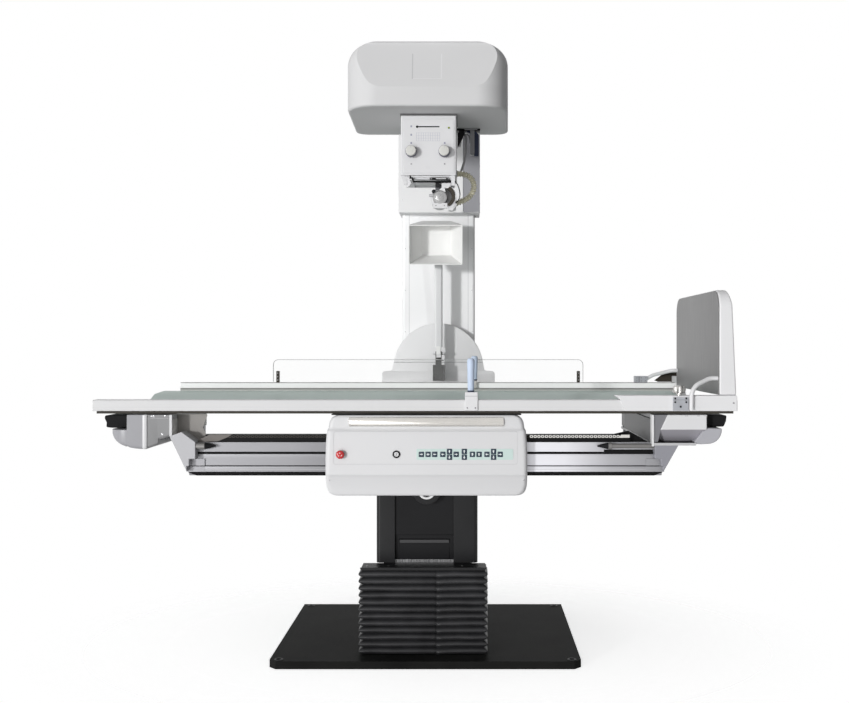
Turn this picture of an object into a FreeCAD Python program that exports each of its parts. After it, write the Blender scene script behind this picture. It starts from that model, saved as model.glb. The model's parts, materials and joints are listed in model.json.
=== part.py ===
import FreeCAD, Part

import math
import os

os.makedirs("parts", exist_ok=True)

# Radiography table: tilting, height-compensated table with an overhead tube on its own column.
# Millimetres.  Origin on the floor under the middle of the floor plate.
# +X towards the foot end, +Y away from the operator, +Z up.

# ---------------------------------------------------------------- driving sizes
# clearances
FLAT_GAP = 0.5          # between flat faces that slide on each other
SOFT_GAP = 0.3          # between pieces of different bodies that only nearly touch
RUN_FIT = 0.05          # radial clearance of a shaft in its bearing

# floor plate
PLATE_LENGTH = 1046.0
PLATE_WIDTH = 760.0
PLATE_THICK = 26.0
PLATE_CHAMFER = 24.0
ANCHOR_INSET_X = 31.0   # centre of an anchor hole from the plate's edge
ANCHOR_INSET_Y = 23.0
ANCHOR_HOLE_R = 9.0

# telescopic lifting mast, three square tubes inside one another
MAST_WIDTH = 140.0
MAST_WALL = 8.0
MAST_TOP = 610.0
SLEEVE_WALL = 8.0
SLEEVE_BOTTOM = 95.0
SLEEVE_TOP = 690.0
SLEEVE_CAP = 10.0
TUBE_WALL = 9.0
TUBE_BOTTOM = 150.0
SCREW_R = 16.0
SCREW_TOP = 560.0
NUT_R = 28.0
NUT_BOTTOM = 130.0

# upright
UPRIGHT_WIDTH = 354.0
UPRIGHT_DEPTH = 428.0
UPRIGHT_BOTTOM = 320.0
UPRIGHT_TOP = 640.0
UPRIGHT_WALL = 10.0
UPRIGHT_EDGE_R = 14.0
PANEL_X0 = -112.0       # recessed middle panel
PANEL_X1 = 93.0
PANEL_RECESS = 8.0
PANEL_THICK = 5.0
NICHE_TOP = 416.0       # lower niche with the drive block
NICHE_BLOCK_INSET = 15.0

# tilt gearmotor on the side of the mast tube
GEARBOX_WIDTH = 70.0
GEARBOX_LENGTH = 120.0
GEARBOX_Z0 = 430.0
GEARBOX_Z1 = 520.0
MOTOR_R = 32.0
MOTOR_LENGTH = 190.0

# bellows
BELLOWS_X0 = -230.0
BELLOWS_X1 = 211.0
BELLOWS_DEPTH = 624.0
BELLOWS_SHOULDER = 105.0   # depth of the wide front part
BELLOWS_REAR_HALF = 158.0
BELLOWS_PLEATS = 12
BELLOWS_FOLD = 15.0
BELLOWS_WALL = 5.0
BELLOWS_FRAME = 8.0

# tilt axis and carriage
TILT_Z = 575.0
TRUNNION_R = 30.0
TRUNNION_BORE_R = 22.0
TRUNNION_LENGTH = 96.0
HUB_R = 48.0
BEARING_R = 52.0
CARRIAGE_GAP = 3.0
CARRIAGE_THICK = 22.0
CARRIAGE_HALF = 225.0
CARRIAGE_LOW = 655.0
CARRIAGE_TOP = 842.0

# image receptor housing under the table top
RECEPTOR_HALF_X = 262.0
RECEPTOR_BOTTOM = 782.0
RECEPTOR_WALL = 3.0

# front cover
COVER_X = 5.0
COVER_HALF = 336.0
COVER_TOP = 848.0
COVER_BOTTOM = 580.0
COVER_FRONT = -400.0
COVER_BACK = -350.0
COVER_WALL = 4.0
COVER_STEP_Z = 798.0
COVER_STEP = 7.0
COVER_CREASE_Z = 649.0
COVER_SLOPE = 26.0
COVER_CORNER_R = 38.0
HANDLE_HALF = 257.0
HANDLE_Z = 826.0
HANDLE_HEIGHT = 31.0
HANDLE_PROUD = 10.0
SWITCH_Z = 719.0
ESTOP_X = -279.0
ESTOP_R = 13.0
ESTOP_TRAVEL = 4.0
KEY_X = -94.0
KEY_R = 12.0
FOIL_X0 = -27.0
FOIL_LENGTH = 320.0
FOIL_HEIGHT = 36.0
FOIL_THICK = 1.2
KEYPAD_SIZE = 18.0
KEYPAD_PITCH = 22.0
KEYPAD_PROUD = 1.0

# side beams of the table frame
BEAM_HALF_LENGTH = 805.0
BEAM_BOTTOM = 652.0
BEAM_TOP = 754.0
BEAM_FRONT = -346.0
BEAM_THICK = 30.0
BEAM_GROOVE_Z = 719.0
BEAM_LIP_Z = 673.0
REAR_BEAM_TOP = 724.0
TRAY_HEIGHT = 25.0
BUFFER_R = 11.5
BUFFER_Z = 743.0
BUFFER_TIP = 36.0
LEFT_BUFFER_X = 67.0 - BEAM_HALF_LENGTH
RIGHT_BUFFER_X = BEAM_HALF_LENGTH - 192.0
TRAY_LEFT = 63.0 - BEAM_HALF_LENGTH
TRAY_RIGHT = BEAM_HALF_LENGTH - 115.0
TRAY_WALL = 4.0

# table ends
END_TOP = 848.0
LEFT_WALL_X = -BEAM_HALF_LENGTH - 39.0
LEFT_OUTER_X = LEFT_WALL_X - 151.0
RIGHT_WALL_X = BEAM_HALF_LENGTH - 45.0
RIGHT_OUTER_X = RIGHT_WALL_X + 181.0
END_FRONT = -376.0
END_BACK = 376.0
END_WALL = 5.0
FRAME_PLATE = 12.0      # cross member under the cross rails
FRAME_DROP = 16.0       # its top below the shells' top edge
INNER_WALL = 8.0
LEFT_WALL_BACK = 76.0
RIGHT_WALL_BACK = 245.0
BUMPER_TOP = 846.0
BUMPER_BOTTOM = 801.0
BUMPER_REACH = 92.0
BUMPER_DEPTH = 660.0

# table top
TABLE_LEFT = LEFT_OUTER_X - 114.0
TABLE_RIGHT = RIGHT_OUTER_X + 101.0
FRONT_RAIL_Y0 = -380.0
FRONT_RAIL_Y1 = -340.0
FRONT_RAIL_TOP = 898.0
FRONT_RAIL_BOTTOM = 852.0
FRONT_RAIL_LIP = 861.0
REAR_RAIL_Y0 = 422.0
REAR_RAIL_Y1 = 462.0
REAR_RAIL_TOP = 928.0
REAR_RAIL_BOTTOM = 861.0
REAR_RAIL_LEFT = TABLE_LEFT + 67.0
RAIL_WALL = 4.0
PANEL_TABLE_THICK = 6.0
PANEL_LOW_Z = 866.0
PANEL_SIDE_Z = 887.0
PANEL_EDGE_Z = 894.0
PANEL_FLAT_HALF = 191.0
PANEL_SLOPE = 63.0
CROSSBAR_WIDTH = 40.0
CROSSBAR_THICK = 5.0
SLIDE_RAIL_WIDTH = 20.0
SLIDE_RAIL_HEIGHT = 12.0
SLIDE_RAIL_LENGTH = 560.0
LEFT_SLIDE_X = LEFT_OUTER_X + 65.0
RIGHT_SLIDE_X = RIGHT_WALL_X + 90.0

# side screen on the rear rail
SCREEN_X0 = -663.0
SCREEN_X1 = 620.0
SCREEN_TOP = 1023.0
SCREEN_THICK = 5.0
SCREEN_Y = 438.0
SCREEN_R = 22.0

# hand grips
GRIP_R = 14.0
GRIP_LENGTH = 101.0
FRONT_GRIP_X = 153.0
REAR_GRIP_X = 170.0

# footrest
FOOT_X = TABLE_RIGHT - 59.0
FOOT_Y0 = -376.0
FOOT_Y1 = 316.0
FOOT_TOP = 1268.0
FOOT_BASE = 57.0
FOOT_TIP = 40.0
FOOT_LIFT = 15.0        # underside of the casing above the front rail
FOOT_KINK = 130.0       # where the casing starts to lean in, above its underside
FOOT_SLOPE = 50.0       # and where it leans more, below its top
FOOT_WALL = 8.0
FOOT_SHELL = 14.0       # wall at the sides and the top
FOOT_R = 62.0
FOOT_PLATE_THICK = 3.0
FOOT_TUBE_R = 7.5
SKIRT_LEFT = FOOT_X - 333.0
CLAMP_X0 = FOOT_X - 158.0
CLAMP_X1 = CLAMP_X0 + 51.0
CLAMP_KNOB_R = 19.0

# tube column on the back of the carriage
PIVOT_X = 16.0
PIVOT_Z = 983.0
PIVOT_R = 193.0
PIVOT_COVER_Y0 = 600.0
PIVOT_COVER_Y1 = 634.0
PIVOT_PIN_R = 40.0
BASE_STEP_X0 = -226.0
BASE_STEP_X1 = 255.0
BASE_STEP_Z0 = 922.0
BASE_STEP_Z1 = 971.0
COLUMN_HALF = 157.0
COLUMN_Y0 = 640.0
COLUMN_Y1 = 790.0
COLUMN_TOP = 2330.0
COLUMN_BOTTOM = 840.0
COLUMN_WALL = 6.0
SID_X0 = -152.0
SID_X1 = 194.0
SID_Y0 = 560.0
SID_BOTTOM = 1646.0
SID_TOP = 2050.0
SID_WALL = 5.0

# tube head
FOCUS_X = 4.0
FOCUS_Y = -78.0
HEAD_Z = 2005.0
HEAD_X0 = -270.0
HEAD_X1 = 280.0
HEAD_Y0 = -290.0
HEAD_Y1 = 192.0
HEAD_BOTTOM = 1900.0
HEAD_TOP = 2130.0
HEAD_WALL = 18.0
HEAD_R = 66.0
HEAD_PLAN_R = 110.0     # front corners, seen from above
HEAD_LOW_R = 44.0
HEAD_SPREAD = 19.0      # how much further each side reaches at the back
HEAD_TOP_LEAN = 50.0    # the upper front face leans back to here
HEAD_BROW_DROP = 159.0  # lower edge of the upper front face, below the top
HEAD_NOSE_DROP = 198.0
HEAD_LIP = 12.0         # how far the front edge hangs below the flat underside
HEAD_LIP_LENGTH = 100.0
ARM_R = 62.0
TUBE_R = 72.0
TUBE_LENGTH = 400.0
HEAD_SEAT = 40.0
HEAD_SEAT_REACH = 150.0

# collimator
COLLIMATOR_HALF = 98.0
COLLIMATOR_TOP = 1892.0
COLLIMATOR_BOTTOM = 1682.0
COLLIMATOR_WALL = 5.0
COLLIMATOR_LID = 12.0
COLLIMATOR_EDGE_R = 5.0
COLLIMATOR_PIN_R = 38.0     # spigot of the tube housing on which the collimator turns
BEAM_WINDOW_HALF = 60.0
SCALE_SLOT = 78.0
SCALE_SLOT_HEIGHT = 5.0
SCALE_SLOT_DROP = 51.0      # middle of the slot below the top
KNOB_SHAFT_R = 5.0
KNOB_RIBS = 18
KNOB_RIB_R = 1.8
COLLIMATOR_KNOB_R = 20.0
COLLIMATOR_KNOB_LENGTH = 30.0
KNOB_Z = 1764.0
LEFT_KNOB_X = -57.0
RIGHT_KNOB_X = 60.0

# compressor
COMPRESSOR_X = 19.0
COMPRESSOR_Y = 535.0
COMPRESSOR_PIVOT_Z = 1048.0
COMPRESSOR_BAR_WIDTH = 33.0
COMPRESSOR_BAR_THICK = 28.0
COMPRESSOR_PIN_R = 6.0
BLOCK_HALF = 24.0
BLOCK_Z0 = 931.0
BLOCK_Z1 = 1006.0
HOOD_Z0 = 1412.0
HOOD_Z1 = 1576.0
HOOD_HALF = 111.0
HOOD_DEPTH = 112.0
HOOD_WALL = 4.0
HOOD_BACK = 5.0
HOOD_TAPER = 0.55       # width of the back against that of the front
HOOD_BACK_LOW = 46.0    # how much higher the back starts and ends than the front
HOOD_BACK_HIGH = 30.0


# ---------------------------------------------------------------- shape helpers
def vec(x, y, z):
    return FreeCAD.Vector(x, y, z)


def box(x0, x1, y0, y1, z0, z1):
    return Part.makeBox(x1 - x0, y1 - y0, z1 - z0, vec(x0, y0, z0))


def rod(start, end, radius):
    """Round bar from one point to another."""
    direction = vec(*end) - vec(*start)
    return Part.makeCylinder(radius, direction.Length, vec(*start), direction)


def cone(start, end, r0, r1):
    direction = vec(*end) - vec(*start)
    return Part.makeCone(r0, r1, direction.Length, vec(*start), direction)


def ring(start, end, outer, inner):
    return rod(start, end, outer).cut(rod(start, end, inner))


def prism_xz(points, y0, y1):
    """Solid with an outline in the XZ plane, from y0 to y1."""
    outline = [vec(x, y0, z) for x, z in points]
    wire = Part.makePolygon(outline + outline[:1])
    return Part.Face(wire).extrude(vec(0, y1 - y0, 0))


def prism_yz(points, x0, x1):
    outline = [vec(x0, y, z) for y, z in points]
    wire = Part.makePolygon(outline + outline[:1])
    return Part.Face(wire).extrude(vec(x1 - x0, 0, 0))


def curved_xz(steps, y0, y1, inset=0.0):
    """Prism in the XZ plane whose steps are corners (x, z) or arcs (x, z, via_x, via_z)."""
    edges = []
    last = vec(steps[-1][0], y0, steps[-1][1])
    for step in steps:
        corner = vec(step[0], y0, step[1])
        if len(step) == 4:
            edges.append(Part.Arc(last, vec(step[2], y0, step[3]), corner).toShape())
        else:
            edges.append(Part.LineSegment(last, corner).toShape())
        last = corner
    face = Part.Face(Part.Wire(edges))
    if inset:
        face = face.makeOffset2D(-inset)
    return face.extrude(vec(0, y1 - y0, 0))


def edges_along(shape, axis, test=None):
    """Straight edges along a row axis whose middle passes the test."""
    found = []
    for edge in shape.Edges:
        if len(edge.Vertexes) != 2:
            continue
        a = edge.Vertexes[0].Point
        b = edge.Vertexes[1].Point
        run = b - a
        if run.Length < 1e-6:
            continue
        if abs(abs(getattr(run.normalize(), axis)) - 1.0) > 1e-6:
            continue
        middle = (a + b) * 0.5
        if test is None or test(middle):
            found.append(edge)
    return found


def round_along(shape, axis, radius, test=None):
    return shape.makeFillet(radius, edges_along(shape, axis, test))


def square_tube(width, wall, z0, z1):
    half = width / 2
    inner = half - wall
    return box(-half, half, -half, half, z0, z1).cut(box(-inner, inner, -inner, inner, z0, z1))


def group(shapes):
    return Part.makeCompound(shapes)


def mirror_y(shape, y=0.0):
    return shape.mirror(vec(0, y, 0), vec(0, 1, 0))


def write(name, shape):
    if shape.ShapeType == "Compound" and len(shape.Solids) == 1:
        shape = shape.Solids[0]
    shape.exportStep("parts/" + name + ".step")
    volume = shape.Volume / 1000
    print(f"{name:26s} solids {len(shape.Solids)} valid {shape.isValid()} volume {volume:.0f} cm3")


# ---------------------------------------------------------------- base and mast
def floor_plate():
    half_x = PLATE_LENGTH / 2
    half_y = PLATE_WIDTH / 2
    plate = box(-half_x, half_x, -half_y, half_y, 0, PLATE_THICK)
    front = edges_along(plate, "z", lambda p: p.y < 0)
    plate = plate.makeChamfer(PLATE_CHAMFER, front)
    for sx in (-1, 1):
        for sy in (-1, 1):
            x = sx * (half_x - ANCHOR_INSET_X)
            y = sy * (half_y - ANCHOR_INSET_Y)
            plate = plate.cut(rod((x, y, -1), (x, y, PLATE_THICK + 1), ANCHOR_HOLE_R))
    return plate


def mast():
    return square_tube(MAST_WIDTH, MAST_WALL, PLATE_THICK, MAST_TOP)


def lift_screw():
    foot = rod((0, 0, PLATE_THICK), (0, 0, PLATE_THICK + 30), 2 * SCREW_R)
    return foot.fuse(rod((0, 0, PLATE_THICK + 30), (0, 0, SCREW_TOP), SCREW_R))


SLEEVE_WIDTH = MAST_WIDTH + 2 * FLAT_GAP + 2 * SLEEVE_WALL
TUBE_WIDTH = SLEEVE_WIDTH + 2 * FLAT_GAP + 2 * TUBE_WALL


def lift_sleeve():
    half = SLEEVE_WIDTH / 2
    walls = square_tube(SLEEVE_WIDTH, SLEEVE_WALL, SLEEVE_BOTTOM, SLEEVE_TOP)
    return walls.fuse(box(-half, half, -half, half, SLEEVE_TOP - SLEEVE_CAP, SLEEVE_TOP)).removeSplitter()


def lift_nut():
    cap = SLEEVE_TOP - SLEEVE_CAP
    return ring((0, 0, NUT_BOTTOM), (0, 0, cap), NUT_R, SCREW_R + RUN_FIT)


# ---------------------------------------------------------------- upright
UPRIGHT_HALF = UPRIGHT_WIDTH / 2
UPRIGHT_FRONT = -UPRIGHT_DEPTH / 2
UPRIGHT_REAR = UPRIGHT_DEPTH / 2
PANEL_FRONT = UPRIGHT_FRONT + PANEL_RECESS


def upright_tube():
    """Outer mast tube with the flange that carries the upright."""
    tube = square_tube(TUBE_WIDTH, TUBE_WALL, TUBE_BOTTOM, UPRIGHT_TOP - UPRIGHT_WALL)
    reach = UPRIGHT_HALF - UPRIGHT_WALL
    deep = UPRIGHT_REAR - UPRIGHT_WALL
    flange = box(-reach, reach, -deep, deep, UPRIGHT_BOTTOM, UPRIGHT_BOTTOM + UPRIGHT_WALL)
    inner = TUBE_WIDTH / 2 - TUBE_WALL
    flange = flange.cut(box(-inner, inner, -inner, inner, UPRIGHT_BOTTOM - 1, UPRIGHT_TOP))
    return tube.fuse(flange).removeSplitter()


def upright_shell():
    body = box(-UPRIGHT_HALF, UPRIGHT_HALF, UPRIGHT_FRONT, UPRIGHT_REAR, UPRIGHT_BOTTOM, UPRIGHT_TOP)
    body = round_along(body, "z", UPRIGHT_EDGE_R)
    reach = UPRIGHT_HALF - UPRIGHT_WALL
    deep = UPRIGHT_REAR - UPRIGHT_WALL
    body = body.cut(box(-reach, reach, -deep, deep, UPRIGHT_BOTTOM - 1, UPRIGHT_TOP - UPRIGHT_WALL))
    behind = PANEL_FRONT + PANEL_THICK
    body = body.cut(box(PANEL_X0, PANEL_X1, UPRIGHT_FRONT - 1, behind, UPRIGHT_BOTTOM - 1, UPRIGHT_TOP + 1))
    opening = TUBE_WIDTH / 2 - TUBE_WALL
    body = body.cut(box(-opening, opening, -opening, opening, UPRIGHT_TOP - 30, UPRIGHT_TOP + 1))
    return body.cut(rod((0, 0, TILT_Z), (0, UPRIGHT_REAR + 1, TILT_Z), BEARING_R))


def upright_front_panels():
    """Recessed middle panel and, below it, the block in the niche."""
    panel = box(PANEL_X0, PANEL_X1, PANEL_FRONT, PANEL_FRONT + PANEL_THICK, NICHE_TOP, UPRIGHT_TOP)
    panel = panel.cut(rod((0, UPRIGHT_FRONT - 1, TILT_Z), (0, 0, TILT_Z), BEARING_R))
    x0 = PANEL_X0 + NICHE_BLOCK_INSET
    x1 = PANEL_X1 - NICHE_BLOCK_INSET
    front = PANEL_FRONT + PANEL_THICK
    top = NICHE_TOP - NICHE_BLOCK_INSET
    block = box(x0, x1, front, -TUBE_WIDTH / 2, UPRIGHT_BOTTOM + UPRIGHT_WALL, top)
    block = block.makeChamfer(6.0, edges_along(block, "x", lambda p: p.z > top - 1 and p.y < front + 1))
    side = box(PANEL_X0, PANEL_X1, front, front + 4, UPRIGHT_BOTTOM + UPRIGHT_WALL, NICHE_TOP)
    side = side.cut(box(x0, x1, front - 1, front + 5, 0, top))
    return group([panel, block, side])


def trunnion_bearings():
    """Bearing housings that carry the two trunnions, fixed to the mast tube."""
    inner = TUBE_WIDTH / 2
    housings = []
    for sign in (-1, 1):
        start = (0, sign * inner, TILT_Z)
        end = (0, sign * UPRIGHT_REAR, TILT_Z)
        housings.append(ring(start, end, BEARING_R - SOFT_GAP, TRUNNION_R + RUN_FIT))
    return group(housings)


def tilt_gearmotor():
    """Gearmotor of the tilt drive on the side of the mast tube."""
    x0 = TUBE_WIDTH / 2
    half = GEARBOX_LENGTH / 2
    gearbox = box(x0, x0 + GEARBOX_WIDTH, -half, half, GEARBOX_Z0, GEARBOX_Z1)
    x = x0 + GEARBOX_WIDTH / 2
    z = (GEARBOX_Z0 + GEARBOX_Z1) / 2
    return gearbox.fuse(rod((x, 0, z), (x, MOTOR_LENGTH, z), MOTOR_R)).removeSplitter()


BELLOWS_FRONT = -BELLOWS_DEPTH / 2
BELLOWS_BACK = BELLOWS_DEPTH / 2
BELLOWS_TOP = UPRIGHT_BOTTOM - BELLOWS_FRAME


def bellows_loop(inset, z):
    """Plan of the bellows: wide in front, narrower behind the upright's front face."""
    x0 = BELLOWS_X0 + inset
    x1 = BELLOWS_X1 - inset
    y0 = BELLOWS_FRONT + inset
    shoulder = BELLOWS_FRONT + BELLOWS_SHOULDER - inset
    y1 = BELLOWS_BACK - inset
    half = BELLOWS_REAR_HALF - inset
    plan = [(x0, y0), (x1, y0), (x1, shoulder), (half, shoulder), (half, y1), (-half, y1), (-half, shoulder),
            (x0, shoulder)]
    points = [vec(x, y, z) for x, y in plan]
    return Part.makePolygon(points + points[:1])


def bellows_solid(offset, z0, z1):
    """Stack of folds, each ridge to valley to ridge, offset inwards."""
    pitch = (z1 - z0) / BELLOWS_PLEATS
    loops = []
    for k in range(2 * BELLOWS_PLEATS + 1):
        inset = offset + (BELLOWS_FOLD if k % 2 == 0 else 0.0)
        loops.append(bellows_loop(inset, z0 + k * pitch / 2))
    return Part.makeLoft(loops, True, True)


def bellows():
    z0 = PLATE_THICK + SOFT_GAP
    outer = bellows_solid(0.0, z0, BELLOWS_TOP)
    return outer.cut(bellows_solid(BELLOWS_WALL, z0, BELLOWS_TOP))


def bellows_top_frame():
    frame = Part.Face(bellows_loop(BELLOWS_FOLD / 2, BELLOWS_TOP)).extrude(vec(0, 0, BELLOWS_FRAME))
    hole = TUBE_WIDTH / 2 + FLAT_GAP
    return frame.cut(box(-hole, hole, -hole, hole, BELLOWS_TOP - 1, UPRIGHT_BOTTOM + 1))


# ---------------------------------------------------------------- tilt carriage
PLATE_Y0 = UPRIGHT_REAR + CARRIAGE_GAP
PLATE_Y1 = PLATE_Y0 + CARRIAGE_THICK
BEAM_INNER = -BEAM_FRONT - BEAM_THICK


def carriage_outline():
    half = CARRIAGE_HALF
    low = CARRIAGE_LOW
    return [(-HUB_R, TILT_Z), (HUB_R, TILT_Z), (HUB_R + 12, low - 30), (half - 40, low),
            (half, low + 40), (half, CARRIAGE_TOP), (-half, CARRIAGE_TOP), (-half, low + 40),
            (-half + 40, low), (-HUB_R - 12, low - 30)]


def carriage_plates():
    """Front and rear plates with the hub round the tilt axis."""
    rear = prism_xz(carriage_outline(), PLATE_Y0, PLATE_Y1)
    rear = rear.fuse(rod((0, PLATE_Y0, TILT_Z), (0, PLATE_Y1, TILT_Z), HUB_R)).removeSplitter()
    rear = rear.cut(rod((0, 0, TILT_Z), (0, PLATE_Y1 + 1, TILT_Z), TRUNNION_R))
    return group([mirror_y(rear), rear])


def trunnions():
    """Hollow stub shafts, pressed into the carriage plates and running in the bearings."""
    start = (0, PLATE_Y1 - TRUNNION_LENGTH, TILT_Z)
    rear = ring(start, (0, PLATE_Y1, TILT_Z), TRUNNION_R, TRUNNION_BORE_R)
    rear = rear.fuse(rod(start, (0, start[1] + 8, TILT_Z), TRUNNION_BORE_R)).removeSplitter()
    return group([mirror_y(rear), rear])


def receptor_housing():
    """Tray for the image receptor between the carriage plates, under the table top."""
    half = RECEPTOR_HALF_X
    wall = RECEPTOR_WALL
    shell = box(-half, half, -PLATE_Y0, PLATE_Y0, RECEPTOR_BOTTOM, CARRIAGE_TOP)
    room = box(-half + wall, half - wall, -PLATE_Y0 + wall, PLATE_Y0 - wall,
               RECEPTOR_BOTTOM + wall, CARRIAGE_TOP - wall)
    return shell.cut(room)


GUIDE_LENGTH = 80.0
GUIDE_INSET = 8.0
GUIDE_LOW = BEAM_BOTTOM + 42.0
GUIDE_HIGH = BEAM_GROOVE_Z - 4.0


def beam_guides():
    """Runner blocks between the carriage plates and the side beams."""
    half = GUIDE_LENGTH / 2
    blocks = []
    for sx in (-1, 1):
        x = sx * (CARRIAGE_HALF - GUIDE_INSET - half)
        blocks.append(box(x - half, x + half, PLATE_Y1, BEAM_INNER - FLAT_GAP, GUIDE_LOW, GUIDE_HIGH))
    rear = group(blocks)
    return group(mirror_y(rear).Solids + rear.Solids)


def cover_outline(inset):
    half = COVER_HALF - inset
    top = COVER_TOP - inset
    low = COVER_BOTTOM + inset
    return [(COVER_X - half + 36, top), (COVER_X + half - 36, top), (COVER_X + half - 13, top - 22),
            (COVER_X + half - 10, COVER_STEP_Z + 4), (COVER_X + half - 4, COVER_STEP_Z - 8),
            (COVER_X + half, 700), (COVER_X + half - 2, low), (COVER_X - half + 2, low),
            (COVER_X - half, 700), (COVER_X - half + 4, COVER_STEP_Z - 8),
            (COVER_X - half + 10, COVER_STEP_Z + 4), (COVER_X - half + 13, top - 22)]


def cover_profile(inset):
    """Side view of the front cover: stepped near the top, sloping back below the crease."""
    front = COVER_FRONT + inset
    upper = front + COVER_STEP
    top = COVER_TOP - inset
    low = COVER_BOTTOM + inset
    back = COVER_BACK if inset == 0 else COVER_BACK + 1
    return [(back, top), (upper + 8, top), (upper, top - 8), (upper, COVER_STEP_Z + 5),
            (front, COVER_STEP_Z), (front, COVER_CREASE_Z), (front + COVER_SLOPE, low + 14),
            (front + COVER_SLOPE + 10, low), (back, low)]


def cover_body(inset):
    x0 = COVER_X - COVER_HALF - 1
    x1 = COVER_X + COVER_HALF + 1
    side = prism_yz(cover_profile(inset), x0, x1)
    face = prism_xz(cover_outline(inset), COVER_FRONT - 1, COVER_BACK + 2)
    low = COVER_BOTTOM + inset + 1
    face = round_along(face, "y", COVER_CORNER_R - inset, lambda p: p.z < low)
    return face.common(side)


def front_cover():
    cover = cover_body(0.0).cut(cover_body(COVER_WALL))
    holes = [(ESTOP_X, ESTOP_R - 4.0), (KEY_X, KEY_R - 4.0)]
    for x, radius in holes:
        cover = cover.cut(rod((x, COVER_FRONT - 1, SWITCH_Z), (x, COVER_FRONT + 20, SWITCH_Z), radius))
    return cover


def cover_brackets():
    """Stays that carry the front cover over and under the front beam."""
    stays = []
    for sx in (-1, 1):
        x = sx * 200.0
        front = COVER_FRONT + COVER_STEP + COVER_WALL
        high = box(x - 20, x + 20, front, -PLATE_Y1, COVER_TOP - 24, COVER_TOP - 14)
        stays.append(high)
        low_front = COVER_FRONT + COVER_WALL + COVER_SLOPE
        low = box(x - 20, x + 20, low_front, -PLATE_Y0, COVER_BOTTOM + 30, COVER_BOTTOM + 40)
        post = box(x - 20, x + 20, -PLATE_Y1, -PLATE_Y0, COVER_BOTTOM + 40, CARRIAGE_LOW + 20)
        stays.append(low.fuse(post.cut(carriage_plates())).removeSplitter())
    return group(stays)


HANDLE_FRONT = COVER_FRONT + COVER_STEP


def hand_rail():
    """Half-round steel grip strip along the top of the front cover."""
    z0 = HANDLE_Z - HANDLE_HEIGHT / 2
    z1 = HANDLE_Z + HANDLE_HEIGHT / 2
    front = HANDLE_FRONT - HANDLE_PROUD
    start = vec(COVER_X - HANDLE_HALF, HANDLE_FRONT, z0)
    middle = vec(COVER_X - HANDLE_HALF, front, HANDLE_Z)
    end = vec(COVER_X - HANDLE_HALF, HANDLE_FRONT, z1)
    arc = Part.Arc(start, middle, end).toShape()
    wire = Part.Wire([arc, Part.LineSegment(end, start).toShape()])
    return Part.Face(wire).extrude(vec(2 * HANDLE_HALF, 0, 0))


def key_places():
    """Centres of the pads along the foil: three, a cross, a pair above each other, two, a cross."""
    half = KEYPAD_SIZE / 2 + 0.5
    first = FOIL_X0 + 16.0
    places = [(first + k * KEYPAD_PITCH, 0.0) for k in range(3)]
    for start in (first + 71.0, first + 217.0):
        places.append((start, 0.0))
        places.append((start + KEYPAD_PITCH, half))
        places.append((start + KEYPAD_PITCH, -half))
        places.append((start + 2 * KEYPAD_PITCH, 0.0))
    for offset in (half, -half):
        places.append((first + 142.0, offset))
    for k in range(2):
        places.append((first + 169.0 + k * KEYPAD_PITCH, 0.0))
    return places


def control_foil():
    z0 = SWITCH_Z - FOIL_HEIGHT / 2
    front = COVER_FRONT - FOIL_THICK
    return box(FOIL_X0, FOIL_X0 + FOIL_LENGTH, front, COVER_FRONT, z0, z0 + FOIL_HEIGHT)


def control_pads():
    half = KEYPAD_SIZE / 2
    front = COVER_FRONT - FOIL_THICK
    pads = []
    for x, dz in key_places():
        z = SWITCH_Z + dz
        pads.append(box(x - half, x + half, front - KEYPAD_PROUD, front, z - half, z + half))
    return group(pads)


def switch_collars():
    """Bezels of the stop button and of the key switch, with their bodies behind the cover."""
    collars = []
    for x, radius in ((ESTOP_X, ESTOP_R), (KEY_X, KEY_R)):
        front = ring((x, COVER_FRONT - 4, SWITCH_Z), (x, COVER_FRONT, SWITCH_Z), radius, radius - 6)
        neck = ring((x, COVER_FRONT, SWITCH_Z), (x, COVER_FRONT + 34, SWITCH_Z), radius - 4.5, radius - 6)
        collars.append(front.fuse(neck).removeSplitter())
    return group(collars)


def stop_button():
    gap = ESTOP_TRAVEL + SOFT_GAP
    stem_r = ESTOP_R - 6 - RUN_FIT
    back = COVER_FRONT - 4 - gap
    head = rod((ESTOP_X, back - 9, SWITCH_Z), (ESTOP_X, back, SWITCH_Z), ESTOP_R + 1)
    head = head.makeFillet(4.0, [e for e in head.Edges if abs(e.BoundBox.YMax - back + 9) < 0.01])
    stem = rod((ESTOP_X, back, SWITCH_Z), (ESTOP_X, COVER_FRONT + 24, SWITCH_Z), stem_r)
    return head.fuse(stem).removeSplitter()


def key_rotor():
    plug_r = KEY_R - 6 - RUN_FIT
    front = COVER_FRONT - 5
    plug = rod((KEY_X, front, SWITCH_Z), (KEY_X, COVER_FRONT + 28, SWITCH_Z), plug_r)
    return plug.cut(box(KEY_X - 0.8, KEY_X + 0.8, front - 1, front + 12, SWITCH_Z - 4, SWITCH_Z + 4))


# ---------------------------------------------------------------- table frame
def beam_profile(front, top):
    """Extruded side beam: upper band, groove, middle band, thin line and lower lip."""
    back = front + BEAM_THICK
    under = BEAM_BOTTOM - UNDERSIDE_DROP
    return [(front, top), (front, GROOVE_TOP), (front + GROOVE_DEPTH, GROOVE_TOP),
            (front + GROOVE_DEPTH, GROOVE_LOW), (front, GROOVE_LOW), (front, LIP_TOP),
            (front + LIP_DEPTH, LIP_TOP), (front + LIP_DEPTH, BEAM_LIP_Z), (front - LIP_PROUD, BEAM_LIP_Z),
            (front - LIP_PROUD, BEAM_BOTTOM + 2), (front + LIP_PROUD, under), (back, under), (back, top)]


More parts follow.
